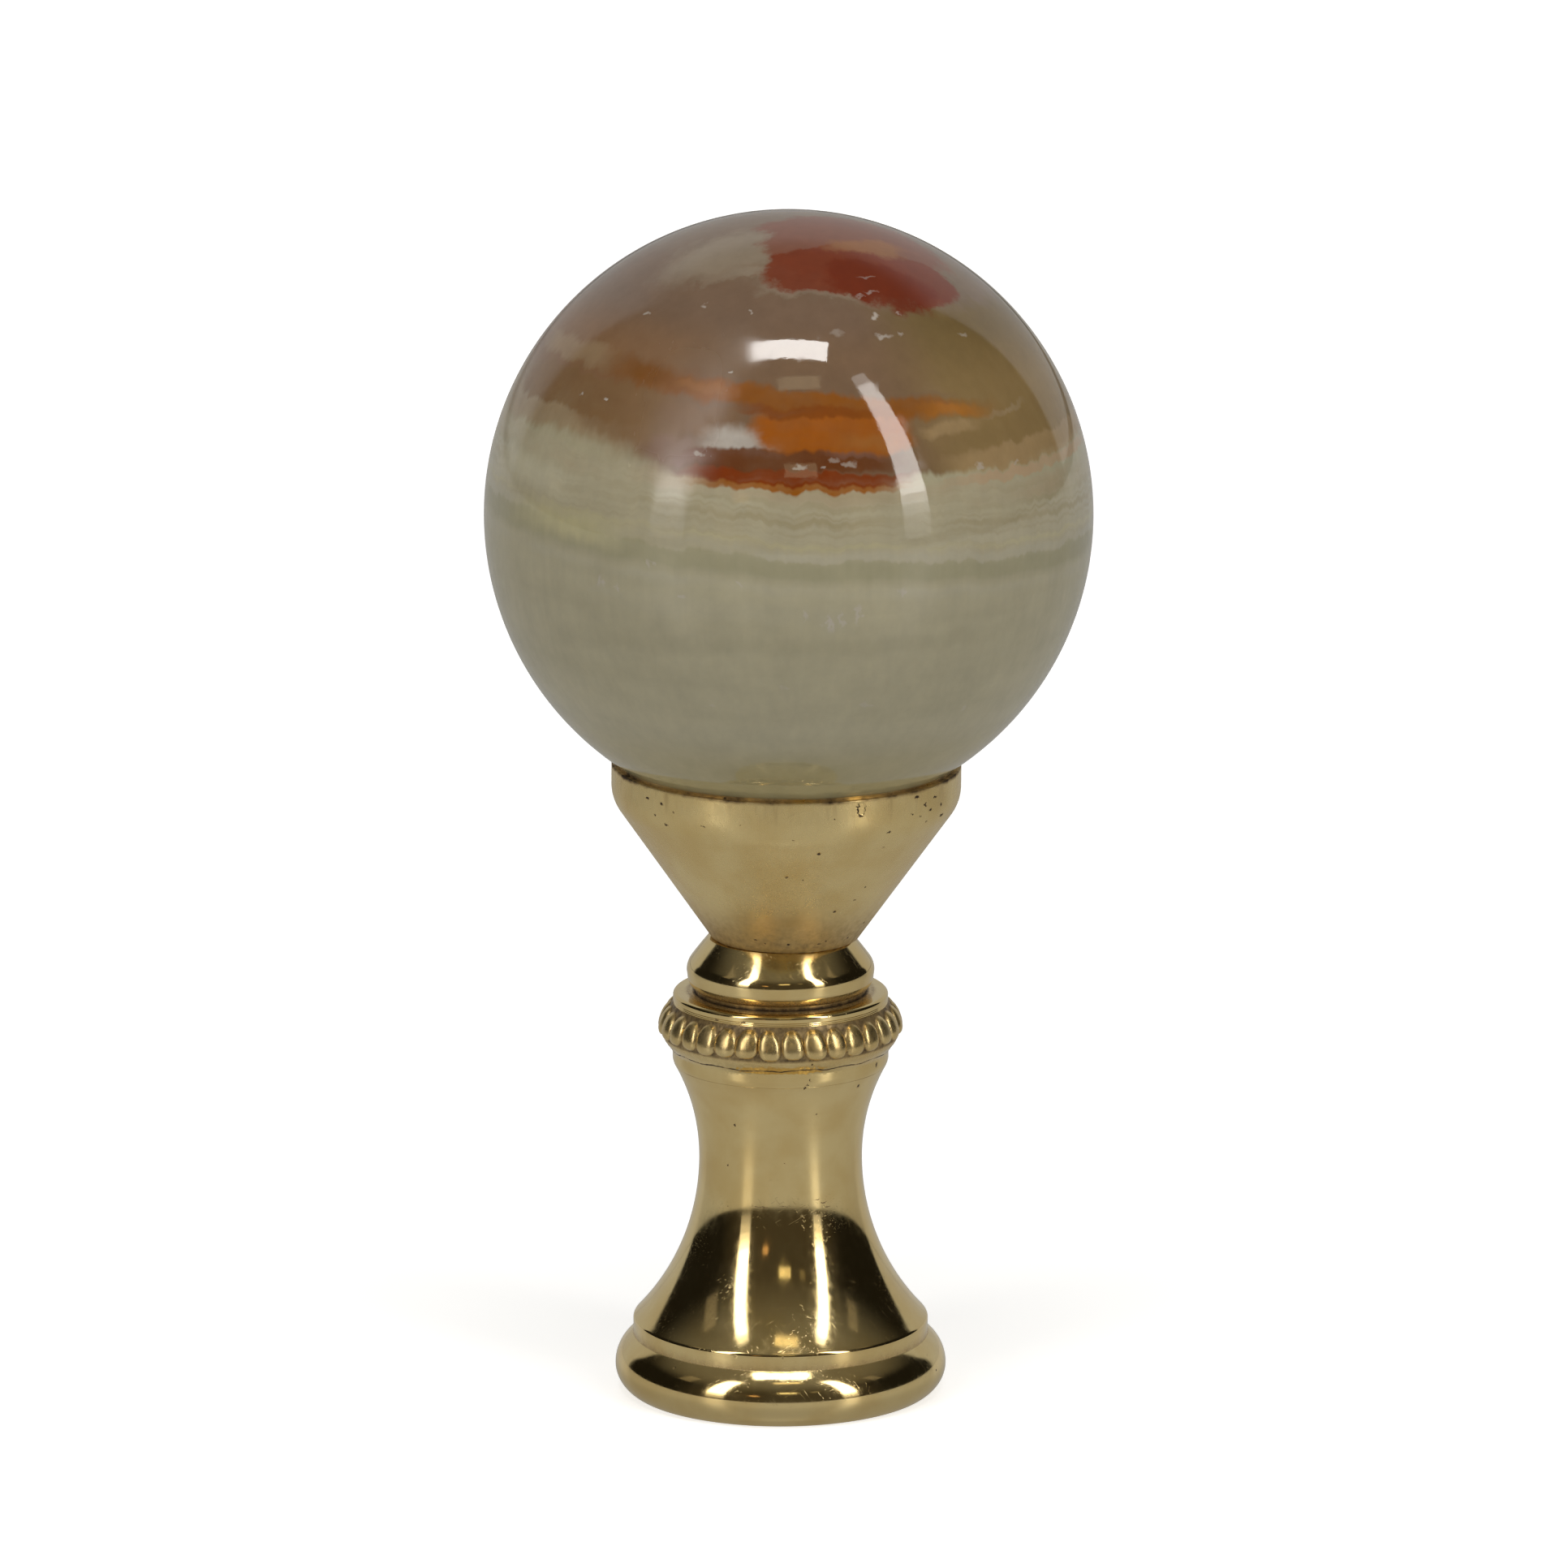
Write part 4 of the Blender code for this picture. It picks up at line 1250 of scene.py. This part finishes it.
def floor_finish():
    material, tree, shader = new_material("pale_table")
    seen = add_node(tree, "ShaderNodeLightPath").outputs["Is Camera Ray"]
    place = add_node(tree, "ShaderNodeTexCoord").outputs["Object"]
    mottle = noise_value(tree, place, 6.0)
    tone = mix_colour(tree, mottle, FLOOR_TONE, FLOOR_MOTTLE)
    tree.links.new(mix_colour(tree, seen, FLOOR_UNSEEN, tone), shader.inputs["Base Color"])
    shader.inputs["Specular IOR Level"].default_value = 0.28
    tree.links.new(maths(tree, "MULTIPLY_ADD", mottle, 0.05, 0.32), shader.inputs["Roughness"])
    glow_tone = mix_colour(tree, seen, WARM_GLOW, WHITE_LIGHT)
    tree.links.new(glow_tone, shader.inputs["Emission Color"])
    away = vector_maths(tree, "LENGTH", {0: place})
    # Painted shadow on the table's glow: darker under the foot and behind the finial
    near_foot = fade(tree, away, *PAINTED_FOOT_SHADOW)
    behind = fade(tree, axes_of(tree, place)["Y"], -0.05, 0.15)
    painted_floor_shadow = times(
        tree, maths(tree, "MULTIPLY_ADD", near_foot, -PAINTED_SHADE_NEAR, 1.0),
        maths(tree, "MULTIPLY_ADD", behind, -PAINTED_SHADE_NEAR, 1.0),
    )
    on_table = fade(tree, away, TABLE_END + TABLE_FADE, TABLE_END)
    glow = times(tree, painted_floor_shadow, on_table, FLOOR_GLOW)
    lift = maths(
        tree, "MULTIPLY_ADD", fade(tree, away, *FAR_FROM), FLOOR_FAR_LIFT - FLOOR_WHITE_LIFT,
        FLOOR_WHITE_LIFT,
    )
    glow = add_node(
        tree, "ShaderNodeMix", {"Factor": seen, 2: glow, 3: lift}, data_type="FLOAT"
    ).outputs[0]
    tree.links.new(glow, shader.inputs["Emission Strength"])
    return material


floor_mesh = bpy.data.meshes.new("pale_table_top")
corners = [(-FLOOR_HALF, -FLOOR_HALF, 0.0), (FLOOR_HALF, -FLOOR_HALF, 0.0),
           (FLOOR_HALF, FLOOR_HALF, 0.0), (-FLOOR_HALF, FLOOR_HALF, 0.0)]
floor_mesh.from_pydata(corners, [], [(0, 1, 2, 3)])
floor = bpy.data.objects.new("pale_table_top", floor_mesh)
floor_mesh.materials.append(floor_finish())
bpy.context.scene.collection.objects.link(floor)


def room_light():
    """White to the camera; to the brass and the stone a dark room with a pale backdrop behind."""
    world = bpy.data.worlds.new("studio_room")
    world.use_nodes = True
    tree = world.node_tree
    background = tree.nodes["Background"]
    towards = add_node(tree, "ShaderNodeTexCoord").outputs["Generated"]
    parts = axes_of(tree, towards)
    front = fade(tree, times(tree, parts["Y"], -1.0), 0.1, 0.8)
    overhead = fade(tree, parts["Z"], 0.45, 0.9)
    near = mix_colour(tree, front, ROOM_SIDES, ROOM_FRONT)
    dark = mix_colour(tree, overhead, near, ROOM_CEILING)
    level = maths(tree, "SQRT", maths(tree, "SUBTRACT", 1.0, maths(tree, "POWER", parts["Z"], 2.0)))
    behind = fade(tree, maths(tree, "DIVIDE", parts["Y"], level), 0.64, 0.68)
    behind = times(tree, behind, maths(tree, "SUBTRACT", 1.0, fade(tree, parts["Z"], 0.6, 0.8)))
    room = mix_colour(tree, behind, dark, BACKDROP_TONE)
    seen = add_node(tree, "ShaderNodeLightPath").outputs["Is Camera Ray"]
    tree.links.new(mix_colour(tree, seen, room, WHITE_LIGHT), background.inputs["Color"])
    return world


scene = bpy.context.scene
scene.world = room_light()
scene.view_settings.view_transform = "Standard"


# Camera
# A long lens a little above the finial, as the photograph was taken.
CAMERA_PLACE = Vector((0.0, -0.620, 0.1854))
CAMERA_AIM = Vector((0.0002, 0.0, 0.0360))
LENS_MM = 253.56
SENSOR_MM = 36.0

lens = bpy.data.cameras.new("photograph_lens")
lens.lens = LENS_MM
lens.sensor_width = SENSOR_MM
lens.sensor_height = SENSOR_MM
lens.clip_start = 0.01
camera = bpy.data.objects.new("photograph_camera", lens)
camera.location = CAMERA_PLACE
camera.rotation_euler = (CAMERA_AIM - CAMERA_PLACE).to_track_quat("-Z", "Y").to_euler()
scene.collection.objects.link(camera)
scene.camera = camera
